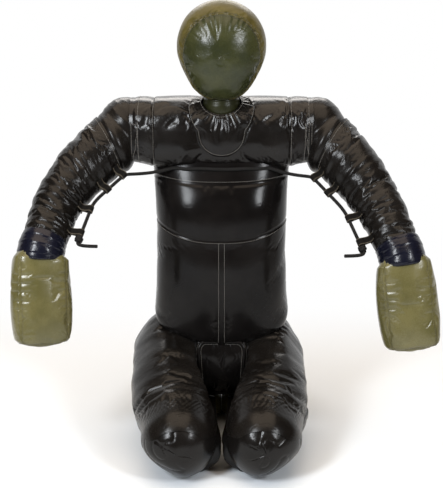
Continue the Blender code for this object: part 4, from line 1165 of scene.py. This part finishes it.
def shin_skin(side):
    """Knee ball and calf, pressed flat under the thigh and on the floor."""
    sign = SIDES[side]
    knee = leg_places(side)[1]
    rows, cols = 78, 96
    turn = np.linspace(math.radians(4), math.pi / 2, 34)[:-1]
    along = np.concatenate([-KNEE_BALL * np.cos(turn), KNEE_BALL * np.linspace(0, 1, 16)[:-1],
                            np.linspace(KNEE_BALL, 0.290, rows - 48)])[:, None]
    angle = around(cols)[None]
    share = np.maximum(0, along - KNEE_BALL) / (0.300 - KNEE_BALL)
    spread = quad(KNEE_X, 0.112, ANKLE_X, share)
    half = quad(KNEE_BALL, 0.098, 0.052, share)
    half = np.where(along <= 0, np.sqrt(np.maximum(0, KNEE_BALL ** 2 - along ** 2)), half)
    height = lerp(1.0, 0.070 / KNEE_Z, np.maximum(0, share - 0.70) / 0.30)
    x, z = ring(-angle, half, half, lerp(2.0, 3.0, np.minimum(1, 2 * share)))
    dome = np.sqrt(np.maximum(0, KNEE_BALL ** 2 - along ** 2 - x ** 2))
    z = np.where((along > 0) & (z >= 0), np.minimum(z, dome), z)
    z = np.where((along > 0) & (z < 0), -KNEE_Z * np.minimum(1, -z / half / 0.985), z)
    P = np.stack(np.broadcast_arrays(sign * spread + x, knee[1] + along,
                                     height * np.maximum(FLOOR_CLEAR, KNEE_Z + z)), -1)
    low = ease((KNEE_Z - P[..., 2]) / KNEE_Z)
    front = 1 - ease(along / 0.12)
    middle = sign * spread
    outer = np.maximum(0, sign * (P[..., 0] - middle))
    inner = np.maximum(0, sign * (middle - P[..., 0]))
    P[..., 0] -= sign * (0.024 * low * front + outer * (0.02 + 0.06 * low) + 0.12 * inner * front)
    keep_outside(P, sign, LEG_GAP)
    pins = np.zeros(P.shape[:2])
    pins[-2:] = 1
    pins[(along > -0.02) & (P[..., 2] > 0.07)] = 1
    pins[P[..., 2] < ON_FLOOR] = 1
    seed = by_side(side, 121, 131)
    line = 1 - np.abs(smooth_noise(P.shape[:2], (9, 7), seed + 2))
    fold = 0.0012 * smooth_noise(P.shape[:2], (9, 8), seed) - 0.0010 - 0.0016 * line ** 9
    fold = np.where(pins > 0.5, 0, fold)
    skin = Skin("shin_" + side, P, pins=pins, fold=fold, grow=0.05, cap=0.0035)
    skin.ball = (knee, along)
    return skin


def clear_shin(skin, side):
    """Keep the knee inside the thigh's hood and the calf on the floor."""
    knee, along = skin.ball
    away = skin.P - knee
    size = np.linalg.norm(away, axis=-1, keepdims=True)
    near = (along <= 0)[..., None]
    skin.P = np.where(near & (size > KNEE_BALL), knee + away * (KNEE_BALL / size), skin.P)
    skin.P[..., 2] = np.maximum(skin.P[..., 2], FLOOR_CLEAR)
    calf = np.broadcast_to(along > 0, skin.P.shape[:2])
    under = calf & (np.linalg.norm(skin.P - knee, axis=-1) > KNEE_BALL)
    skin.P[..., 2] = np.where(under, np.minimum(skin.P[..., 2], CALF_TOP), skin.P[..., 2])
    keep_outside(skin.P, SIDES[side], LEG_GAP)


def foot_skin(side):
    """A flattened olive boot, toes back under the seat."""
    sign = SIDES[side]
    ankle = leg_places(side)[2]
    rows, cols = 64, 72
    inward = TOE_X - ANKLE_X
    toe = unit((sign * inward, math.sqrt(FOOT_LENGTH ** 2 - inward ** 2), 0.0))
    across = np.array((toe[1], -toe[0], 0.0))
    share = np.linspace(0, 1, rows)
    s = lerp(-0.026, 0.2345, share ** 0.9)
    stations = [-0.026, 0.0, 0.0234, 0.082, 0.170, 0.200, 0.219, 0.230, 0.2345]
    half = np.interp(s, stations, [0.010, 0.027, 0.036, 0.045, 0.045, 0.041, 0.034, 0.021, 0.0008])
    tall = np.interp(s, stations, [0.010, 0.026, 0.032, 0.0345, 0.0345, 0.0325, 0.0275, 0.017, 0.0006])
    a, b = ring(around(cols, 0.5)[None], half[:, None], tall[:, None], 2.8)
    P = ankle + s[:, None, None] * toe + a[..., None] * across + b[..., None] * np.array((0, 0, 1.0))
    P[..., 2] = np.clip(P[..., 2], FLOOR_CLEAR, FOOT_CUT)
    inner = np.maximum(0, sign * (ankle[0] - P[..., 0]))
    P[..., 0] -= sign * 1.1 * inner * bump((s[:, None] - 0.02) / 0.20)
    keep_outside(P, sign, FOOT_GAP)
    pins = np.zeros(P.shape[:2])
    pins[P[..., 2] < ON_FLOOR] = 1
    pins[:10] = 1
    fold = np.where(pins > 0.5, 0, 0.0012 * smooth_noise(P.shape[:2], (12, 8), 141) - 0.001)
    return Skin("foot_" + side, P, pins=pins, fold=fold, grow=0.05, cap=0.003)


def clear_foot(skin, side):
    """Keep a foot on the floor, under the seat and off its neighbour."""
    skin.P[..., 2] = np.clip(skin.P[..., 2], FLOOR_CLEAR, FOOT_TOP)
    keep_outside(skin.P, SIDES[side], FOOT_GAP)


# ---------------------------------------------------------------- webbing loops and drawcord
UPPER_LOOPS, FORE_LOOPS = (0.103, 0.155), (0.052, 0.118)
CORD_RADIUS, CORD_STEP = 0.004, 0.003     # the step is the distance between points along the cord
CHEST_POINTS = 33
LOOP_RISE = 0.0278       # height of a loop's eye over the limb's plain side
UPPER_SIZE, ELBOW_SIZE, WRIST_SIZE = 0.068, 0.0595, 0.050     # plain radii of the arm under the loops
UPPER_LENGTH, FORE_LENGTH = 0.210, 0.182


def arm_size(along):
    return lerp(UPPER_SIZE, ELBOW_SIZE, along / UPPER_LENGTH)


def fore_size(along):
    ball = (ELBOW_SIZE - 0.0025 - 0.0010) * math.cos(math.pi / 12)
    return lerp(ball, WRIST_SIZE, along / FORE_LENGTH)


class Lacing:
    """Where one arm's loops stand and where the cord passes through them."""

    def __init__(self, line, chest_end):
        self.eyes, self.loops = [], []
        for limb, origin, along, stations, size in (
                ("upper_arm", line.shoulder, line.upper, UPPER_LOOPS, arm_size),
                ("forearm", line.elbow, line.fore, FORE_LOOPS, fore_size)):
            out = -np.cross(along, line.across)
            for number, station in enumerate(stations):
                depth = size(station - 0.008) + LOOP_RISE
                self.eyes.append(origin + along * station + out * depth)
                self.loops.append((limb, number + 1, origin + along * station, along, out, depth))
        self.arm_run = unit(self.eyes[1] - self.eyes[0])
        self.fore_run = unit(self.eyes[3] - self.eyes[2])
        self.first = self.eyes[0] + unit(chest_end - self.eyes[0]) * 0.012
        self.knot = self.eyes[3] + self.fore_run * (0.008 + 2.6 * CORD_RADIUS)
        self.inward = unit((-SIDES[line.side], -0.15, -0.12))


def loop_piece(name, base, along, out, depth, root):
    """Webbing folded into a loop: two tabs on the arm, pressed together at the root and open at its tip."""
    side = np.cross(along, out)
    tip = depth + 0.0052
    rise = tip - root
    spots = [(-0.0150, -0.0010), (-0.0080, 0.0006), (-0.0034, 0.0030), (-0.0022, 0.0080), (-0.0036, rise * 0.50),
             (-0.0066, rise * 0.72), (-0.0070, rise * 0.86), (-0.0042, rise * 0.975), (0.0, rise)]
    spots += [(-y, z) for y, z in spots[-2::-1]]
    line = chaikin(np.array([(y, z, 0.0) for y, z in spots]), 2)
    line = along_path(line, 64)[:, :2]
    tangent = unit(np.gradient(line, axis=0))
    normal = np.stack([-tangent[:, 1], tangent[:, 0]], 1)
    wall, width = 0.0011, 0.0080
    section = [(-width, -wall * 0.5), (-width * 0.96, -wall), (width * 0.96, -wall), (width, -wall * 0.5),
               (width, wall * 0.5), (width * 0.96, wall), (-width * 0.96, wall), (-width, wall * 0.5)]
    sway = 0.0016 * np.sin(np.linspace(0, math.pi, len(line)))
    P = np.empty((len(line), len(section), 3))
    for k, (w, n) in enumerate(section):
        flat = line + normal * n
        P[:, k] = (base + along * (w + sway[:, None]) + side * flat[:, :1] + out * (root + flat[:, 1:]))
    i, quads = grid_quads(*P.shape[:2])
    ends = [i[0][::-1], i[-1]]
    run = np.linspace(0, path_length(line), len(line))
    across = np.array([w for w, n in section])
    uv = np.stack(np.broadcast_arrays(run[:, None], across[None]), -1).reshape(-1, 2)
    a, b, c = P[30, 0], P[30, 1], P[31, 0]
    if np.dot(np.cross(b - a, c - a), a - P[30].mean(0)) < 0:
        quads = quads[:, ::-1]
        ends = [e[::-1] for e in ends]
    faces = quads.tolist() + [e.tolist() for e in ends]
    obj = put(name, P.reshape(-1, 3), faces, WEBBING,
              [uv[quads], *[uv[e] for e in ends]])
    obj.data.set_sharp_from_angle(angle=math.radians(50))
    return obj


def cord_piece(name, points, body, nodes):
    """One stretch of the drawcord, with as many points as its own length needs."""
    path = along_path(points, max(24, int(path_length(points) / CORD_STEP)))
    obj = hose(name, path, CORD_RADIUS, CORD, 14)
    dress(obj, body, "drawcord", *nodes)


def knot_piece(name, centre, run, out):
    """Overhand knot: the cord wound twice round itself."""
    side = np.cross(run, out)
    t = np.linspace(0, 1, 90)
    size = 0.0054 + 0.0008 * np.sin(t * math.pi)
    path = centre + run * ((t - 0.5) * 0.0115)[:, None] + size[:, None] * spokes(t * TAU * 2.35 + 0.4, out, side)
    return hose(name, path, 0.0038, CORD, 12)


def lace(lines, arms):
    """Loops on both arms and the drawcord through them, from wrist to wrist across the chest."""
    angles = np.radians(np.linspace(-37, 37, CHEST_POINTS) - 90)
    chest = trunk_place(angles, TRUNK_TOP - CORD_RADIUS, -CORD_RADIUS - 0.0018)
    chest[:, 2] += 0.0007 * np.sin(np.linspace(0, 1, CHEST_POINTS) * 19 + 1)
    cord_piece("chest_cord_run", chest, "torso", ["chest_cord"])
    for side, end in (("right", chest[0]), ("left", chest[-1])):
        line, arm = lines[side], arms[side]
        lacing = Lacing(line, end)
        t = np.linspace(0, 1, 40)[:, None]
        route = lerp(end, lacing.first, t) - np.array((0, 0, 0.0035)) * np.sin(t * math.pi)
        half = 24
        cord_piece("chest_cord_side_" + side, route[:half + 1],
                   ("torso", "shoulder_" + side, route[0], route[half]), [])
        cord_piece("arm_cord_run_" + side, chaikin([*route[half::3], lacing.eyes[0], lacing.eyes[1]], 3),
                   line.shoulder_blend(), ["arm_cord_" + side])
        t = np.linspace(0, 1, 30)[:, None]
        near, far = lacing.eyes[1], lacing.eyes[2]
        reach = np.linalg.norm(far - near)
        a, b = near + lacing.arm_run * 0.35 * reach, far - lacing.fore_run * 0.35 * reach
        route = (1 - t) ** 3 * near + 3 * t * (1 - t) ** 2 * a + 3 * t ** 2 * (1 - t) * b + t ** 3 * far
        cord_piece("elbow_cord_run_" + side, route, line.elbow_blend(), ["elbow_cord_" + side])
        run, knot, inward = lacing.fore_run, lacing.knot, lacing.inward
        tied = dress(knot_piece("knot_" + side, knot, run, -np.cross(line.fore, line.across)),
                     "forearm_" + side, "drawcord")
        tail = chaikin(np.array([lacing.eyes[2], lacing.eyes[3], knot, knot + run * 0.012,
                                 knot + run * 0.015 + inward * 0.010, knot + run * 0.014 + inward * 0.026,
                                 knot + run * 0.011 + inward * 0.046]), 3)
        cord_piece("tail_cord_run_" + side, tail, "forearm_" + side, ["tail_cord_" + side])
        for limb, index, base, along, out, depth in lacing.loops:
            col = int(0.75 * arm.P.shape[1])
            near = np.linalg.norm(np.cross(arm.P[:, col] - base, out), axis=-1)
            root = float(np.dot(arm.P[int(np.argmin(near)), col] - base, out)) - 0.0006
            root = min(root, depth - 0.018)
            obj = loop_piece("%s_strap_%d_%s" % (limb, index, side), base, along, out, depth, root)
            body = line.shoulder_blend() if limb == "upper_arm" else "forearm_" + side
            dress(obj, body, "webbing", "%s_loop_%d_%s" % (limb, index, side))


# ---------------------------------------------------------------- putting it together
def build_arms(lines, arms, caps, mitts, tapes):
    """Both arms from the shoulder balls to the mitts, with their stitches."""
    for side, line in lines.items():
        arm, mitt = arms[side], mitts[side]
        rows, cols = arm.P.shape[:2]
        upper, lower = int(0.28 * rows), int(0.70 * rows)
        dress(sleeve("shoulder_puff_" + side, caps[side], BLACK), "shoulder_" + side, "padded_vinyl",
              "shoulder_cap_" + side, fill=0.8)
        dress(sleeve("upper_arm_puff_" + side, arm, BLACK, 0, upper + 1), line.shoulder_blend(), "black_vinyl",
              "upper_arm_cover_" + side, "upper_arm_fill_" + side, fill=0.7)
        dress(sleeve("elbow_puff_" + side, arm, BLACK, upper, lower + 1), line.elbow_blend(), "black_vinyl",
              fill=0.7)
        dress(sleeve("forearm_puff_" + side, arm, BLACK, lower, None), "forearm_" + side, "black_vinyl",
              "forearm_cover_" + side, "forearm_fill_" + side, fill=0.7)
        dress(sleeve("tape_wrap_" + side, tapes[side], TAPE), "forearm_" + side, "wrist_tape",
              "wrist_tape_" + side)
        bend = ("forearm_" + side, "mitt_" + side, line.wrist - line.fore * 0.024,
                line.wrist + MITT[side]["hand"] * MITT_BEND)
        dress(sleeve("mitt_bag_" + side, mitt, OLIVE, sink=(0.004, 0.0)), bend, "olive_vinyl",
              "mitt_cover_" + side, "mitt_fill_" + side, fill=0.75)
        sew("arm_seam_stitches_" + side, [arm.line(4, np.arange(cols + 1))], GREY_THREAD, line.shoulder_blend(),
            "webbing")
        inside = np.arange(2 * mitt.inside[0] + 4, 2 * mitt.bottom + 1)
        groups = np.split(mitt.corners, np.flatnonzero(np.diff(mitt.corners) > 1) + 1)
        seams = [mitt.line(inside, int(2 * group.mean()) + step) for group in groups for step in (-3, 3)]
        seams.append(mitt.line(2 * mitt.bottom - 3, np.arange(mitt.P.shape[1] + 1)))
        sew("mitt_stitches_" + side, seams, OLIVE_THREAD, bend, "webbing")


def crotch_edge(crotch):
    """Piping's path up one side of the crotch panel, round its top corners and down the other."""
    rows, cols = crotch.P.shape[:2]
    across = cols - 1
    bend = np.linspace(0, math.pi / 2, 9)
    corner_r, corner_c = 16 - 9 * np.sin(bend), 13 - 9 * np.cos(bend)
    rim_r = np.concatenate([np.linspace(rows - 2, 17, 50), corner_r, corner_r[::-1], np.linspace(17, rows - 2, 50)])
    rim_c = np.concatenate([np.full(50, 4.0), corner_c, across - corner_c[::-1], np.full(50, across - 4.0)])
    edge = along_path(crotch.line(np.round(rim_r).astype(int), np.round(rim_c).astype(int), 0.0015), 160)
    return along_path(chaikin(edge[::4], 3), 160)


YOKE_END_STITCHES = (9, -6)      # rows of the yoke, counted from its two ends


def sew_trunk(yoke, bib, trunk, edge):
    """Seam stitches of the trunk, the yoke, the bib and the crotch panel."""
    rows, cols = trunk.P.shape[:2]
    front, down = np.arange(trunk.right + 3, cols - 2), np.arange(3, trunk.chest - 2)
    flank = np.arange(3, rows - 11)
    ring_y, ring_b = np.arange(yoke.P.shape[1] + 1), np.arange(bib.P.shape[1] + 1)
    out = unit(np.cross(np.gradient(edge, axis=0), edge - np.array((0, HIP_Y, HIP_Z))))
    paths = [trunk.line(trunk.chest - 2, front),
             *[trunk.line(down, trunk.middle + step) for step in (-1, 1)],
             trunk.line(trunk.upper + 2, front),
             *[trunk.line(flank, col + 3) for col in (trunk.left, trunk.right)],
             *[yoke.line(row, ring_y) for row in (*[seam + 1 for seam in yoke.seams], *YOKE_END_STITCHES)],
             *[bib.line(row, ring_b) for row in (-6, 5)],
             *[edge + lift * 0.0058 * out for lift in (-1, 1)]]
    sew("trunk_stitches", paths, GREY_THREAD, "torso", "webbing")


def sew_anchors(yoke):
    """A boxed stitch with one diagonal at each end of the yoke's front."""
    cols = [int(yoke.P.shape[1] * share) for share in (0.475, 0.64)]
    down, lift = np.arange(*cols), 0.0008
    paths = []
    for sign in (-1, 1):
        rows = [np.argmin(np.abs(yoke.P[:, 0, 0] - sign * x)) for x in (0.197, 0.213)]
        paths += [yoke.line(row, down, lift) for row in rows]
        paths += [yoke.line(np.arange(min(rows), max(rows) + 1), col, lift) for col in cols]
        paths.append(yoke.line(np.round(np.linspace(*rows, len(down))).astype(int), down, lift))
    sew("strap_anchor_stitches", paths, GREY_THREAD, "torso", "webbing", 0.0036, 0.0027, 0.0012)


def build_trunk(yoke, bib, trunk, crotch, seat):
    """Yoke, bib and the trunk's panels, with piping and stitches."""
    dress(sleeve("yoke_bolster", yoke, GLOSSY, sink=(0.05, 0.05)), "torso", "black_vinyl", "yoke_cover", "yoke_fill",
          fill=0.75)
    middle, left, right, chest = trunk.middle, trunk.left, trunk.right, trunk.chest
    top, count = trunk.P.shape[0] - 1, trunk.P.shape[1]
    crotch_r, crotch_c = crotch.P.shape[0] - 1, crotch.P.shape[1] - 1
    seat_r, seat_c = seat.P.shape[0] - 1, seat.P.shape[1] - 1
    for name, skin, finish, rows, cols, wall, fill, *nodes in (
            ("collar_patch", bib, GLOSSY, (0, bib.P.shape[0] - 1), (0, bib.P.shape[1]), 0.0025, 0.4, "collar_bib"),
            ("chest_pad", trunk, TAUT, (chest, top), (right, count), 0.004, 0.7, "chest_panel"),
            ("belly_pad_right", trunk, TAUT, (0, chest), (right, middle), 0.004, 0.7, "belly_panel_right"),
            ("belly_pad_left", trunk, TAUT, (0, chest), (middle, count), 0.004, 0.7, "belly_panel_left", "trunk_fill"),
            ("back_pad", trunk, TAUT, (0, top), (left, right), 0.004, 0.7, "back_panel"),
            ("crotch_pad", crotch, TAUT, (0, crotch_r), (0, crotch_c), 0.006, 0.6, "crotch_panel"),
            ("seat_pad", seat, TAUT, (0, seat_r), (0, seat_c), 0.026, 0.6, "seat_panel", "seat_fill")):
        dress(panel(name, skin, finish, rows, cols, wall), "torso", "black_vinyl", *nodes, fill=fill)
    edge = crotch_edge(crotch)
    dress(hose("crotch_piping", edge, 0.0050, TAUT, 12), "torso", "black_vinyl")
    hem_line = crotch.line(crotch_r - 1, np.arange(crotch_c + 1), 0.001)
    dress(hose("crotch_binding", along_path(hem_line, 60), 0.0044, TAUT, 12), "torso", "black_vinyl")
    sew_trunk(yoke, bib, trunk, edge)
    sew_anchors(yoke)


def build_head(head, neck):
    """Face, band and back of the head on the neck, with their stitches."""
    first, second = head.seams
    dress(sleeve("face_pad", head, FACE, 0, first + 1, sink=(0.0, 0.010)), "head", "olive_vinyl", "face_panel",
          fill=0.8)
    dress(sleeve("head_band_pad", head, BAND, first, second + 1, sink=(0.010, 0.010)), "head", "olive_vinyl",
          "head_band", "head_fill", fill=0.8)
    dress(sleeve("head_back_pad", head, FACE, second, None, sink=(0.010, 0.0)), "head", "olive_vinyl",
          "head_back_panel", fill=0.8)
    # the neck's finish is the darkened olive, painted shade under the head
    dress(sleeve("neck_puff", neck, PAINTED_SHADE_NECK), "neck", "olive_vinyl", "neck_sleeve", "neck_fill", fill=0.7)
    cols = np.arange(head.P.shape[1] + 1)
    sew("head_stitches", [head.line(seam + step, cols) for seam in head.seams for step in (-4, 4)], DARK_THREAD,
        "head", "webbing")


def build_legs(thighs, shins, feet):
    """Thighs, shins and feet, each riding on its own body."""
    for side in SIDES:
        for limb, form, skins, finish, sink, slot in (
                ("thigh", "puff", thighs, BLACK, 0.03, "black_vinyl"),
                ("shin", "puff", shins, GLOSSY, 0.006, "black_vinyl"),
                ("foot", "boot", feet, OLIVE, 0.0, "olive_vinyl")):
            obj = sleeve("%s_%s_%s" % (limb, form, side), skins[side], finish, sink=(0.0, sink))
            dress(obj, limb + "_" + side, slot, "%s_cover_%s" % (limb, side), "%s_fill_%s" % (limb, side), fill=0.75)


# ---------------------------------------------------------------- floor and light
def set_stage():
    """Pale floor that sweeps up into a backdrop; behind the dummy it turns to plain white."""
    f = Finish("pale_floor", Roughness=0.9, Specular_IOR_Level=0.1)
    f.shader.inputs["Base Color"].default_value = (0.83, 0.88, 0.93, 1)
    rays = [f.node("ShaderNodeLightPath", out="Is %s Ray" % kind) for kind in ("Camera", "Glossy", "Transmission")]
    seen = f.node("ShaderNodeMath", {"operation": "MINIMUM"}, {0: rays[0] + rays[1] + rays[2], 1: 1.0})
    behind = f.step(f.node("ShaderNodeSeparateXYZ", None, {0: f.place()}, out=1), 0.25, 1.15)
    white = f.node("ShaderNodeEmission", None, {"Color": (1, 1, 1, 1), "Strength": 1.0})
    whole = f.node("ShaderNodeMixShader", None, {0: seen * behind, 1: Value(f, f.shader.outputs[0]), 2: white})
    f.tree.links.new(whole.socket, f.tree.nodes["Material Output"].inputs["Surface"])
    start, curve, reach = 3.0, 1.5, 9.0      # where the sweep begins, its radius and the floor's extent
    steps = np.linspace(0, math.pi / 2, 20)
    profile = [(-reach, 0.0), *[(start + curve * math.sin(a), curve - curve * math.cos(a)) for a in steps],
               (start + curve, reach)]
    verts = [(x, y, z) for y, z in profile for x in (-reach, reach)]
    faces = [(2 * i, 2 * i + 1, 2 * i + 3, 2 * i + 2) for i in range(len(profile) - 1)]
    mesh = bpy.data.meshes.new("floor_sweep")
    mesh.from_pydata(verts, [], faces)
    mesh.materials.append(f.material)
    mesh.shade_smooth()
    floor = show("floor_sweep", mesh)


def soft_box(name, place, aim, size, energy, colour=(1, 1, 1)):
    data = bpy.data.lights.new(name, "AREA")
    data.shape = "RECTANGLE"
    data.size, data.size_y = size
    data.energy, data.color = energy, colour
    obj = show(name, data)
    obj.location = place
    obj.rotation_euler = (Vector(aim) - Vector(place)).to_track_quat("-Z", "Y").to_euler()


def light_stage():
    world = bpy.data.worlds.new("studio")
    bpy.context.scene.world = world
    world.use_nodes = True
    back = world.node_tree.nodes["Background"]
    back.inputs["Color"].default_value = (0.50, 0.36, 0.25, 1)
    back.inputs["Strength"].default_value = 0.22
    soft_box("window_left", (-1.5, -2.1, 1.9), (0, 0, 0.55), (0.55, 1.0), 66, (0.92, 0.96, 1.0))
    soft_box("window_right", (1.6, -1.9, 1.7), (0, 0, 0.55), (0.40, 0.8), 34, (0.94, 0.97, 1.0))
    soft_box("ceiling", (-0.1, -0.5, 3.1), (0, -0.5, 0.4), (3.0, 3.4), 84, (1.0, 0.82, 0.64))
    soft_box("back_fill", (0.0, 2.6, 2.6), (0, 0.6, 0.4), (2.5, 1.0), 40, (1.0, 0.95, 0.90))


def main():
    aim_camera()
    lines = {side: ArmLine(side) for side in SIDES}
    arms, caps, mitts, tapes = [{side: make(line) for side, line in lines.items()}
                                for make in (arm_skin, cap_skin, mitt_skin, tape_skin)]
    thighs, shins, feet = [{side: make(side) for side in SIDES} for make in (thigh_skin, shin_skin, foot_skin)]
    yoke, bib, trunk, crotch, seat = yoke_skin(), bib_skin(), trunk_skin(), crotch_skin(), seat_skin()
    head, neck = head_skin(), neck_skin()
    swollen = [*arms.values(), *mitts.values(), *thighs.values(), *shins.values(), *feet.values(),
               yoke, bib, trunk, crotch, seat, head]
    swell(swollen)
    for side in SIDES:
        clear_thigh(thighs[side].P, thighs[side].along, side)
        clear_shin(shins[side], side)
        clear_foot(feet[side], side)
    for skin in (*swollen, *caps.values(), neck, *tapes.values()):
        skin.refine()
    neck_socket(yoke)
    lace(lines, arms)
    build_arms(lines, arms, caps, mitts, tapes)
    build_trunk(yoke, bib, trunk, crotch, seat)
    build_head(head, neck)
    build_legs(thighs, shins, feet)
    set_stage()
    light_stage()
    bpy.context.scene.view_settings.view_transform = "Standard"


main()
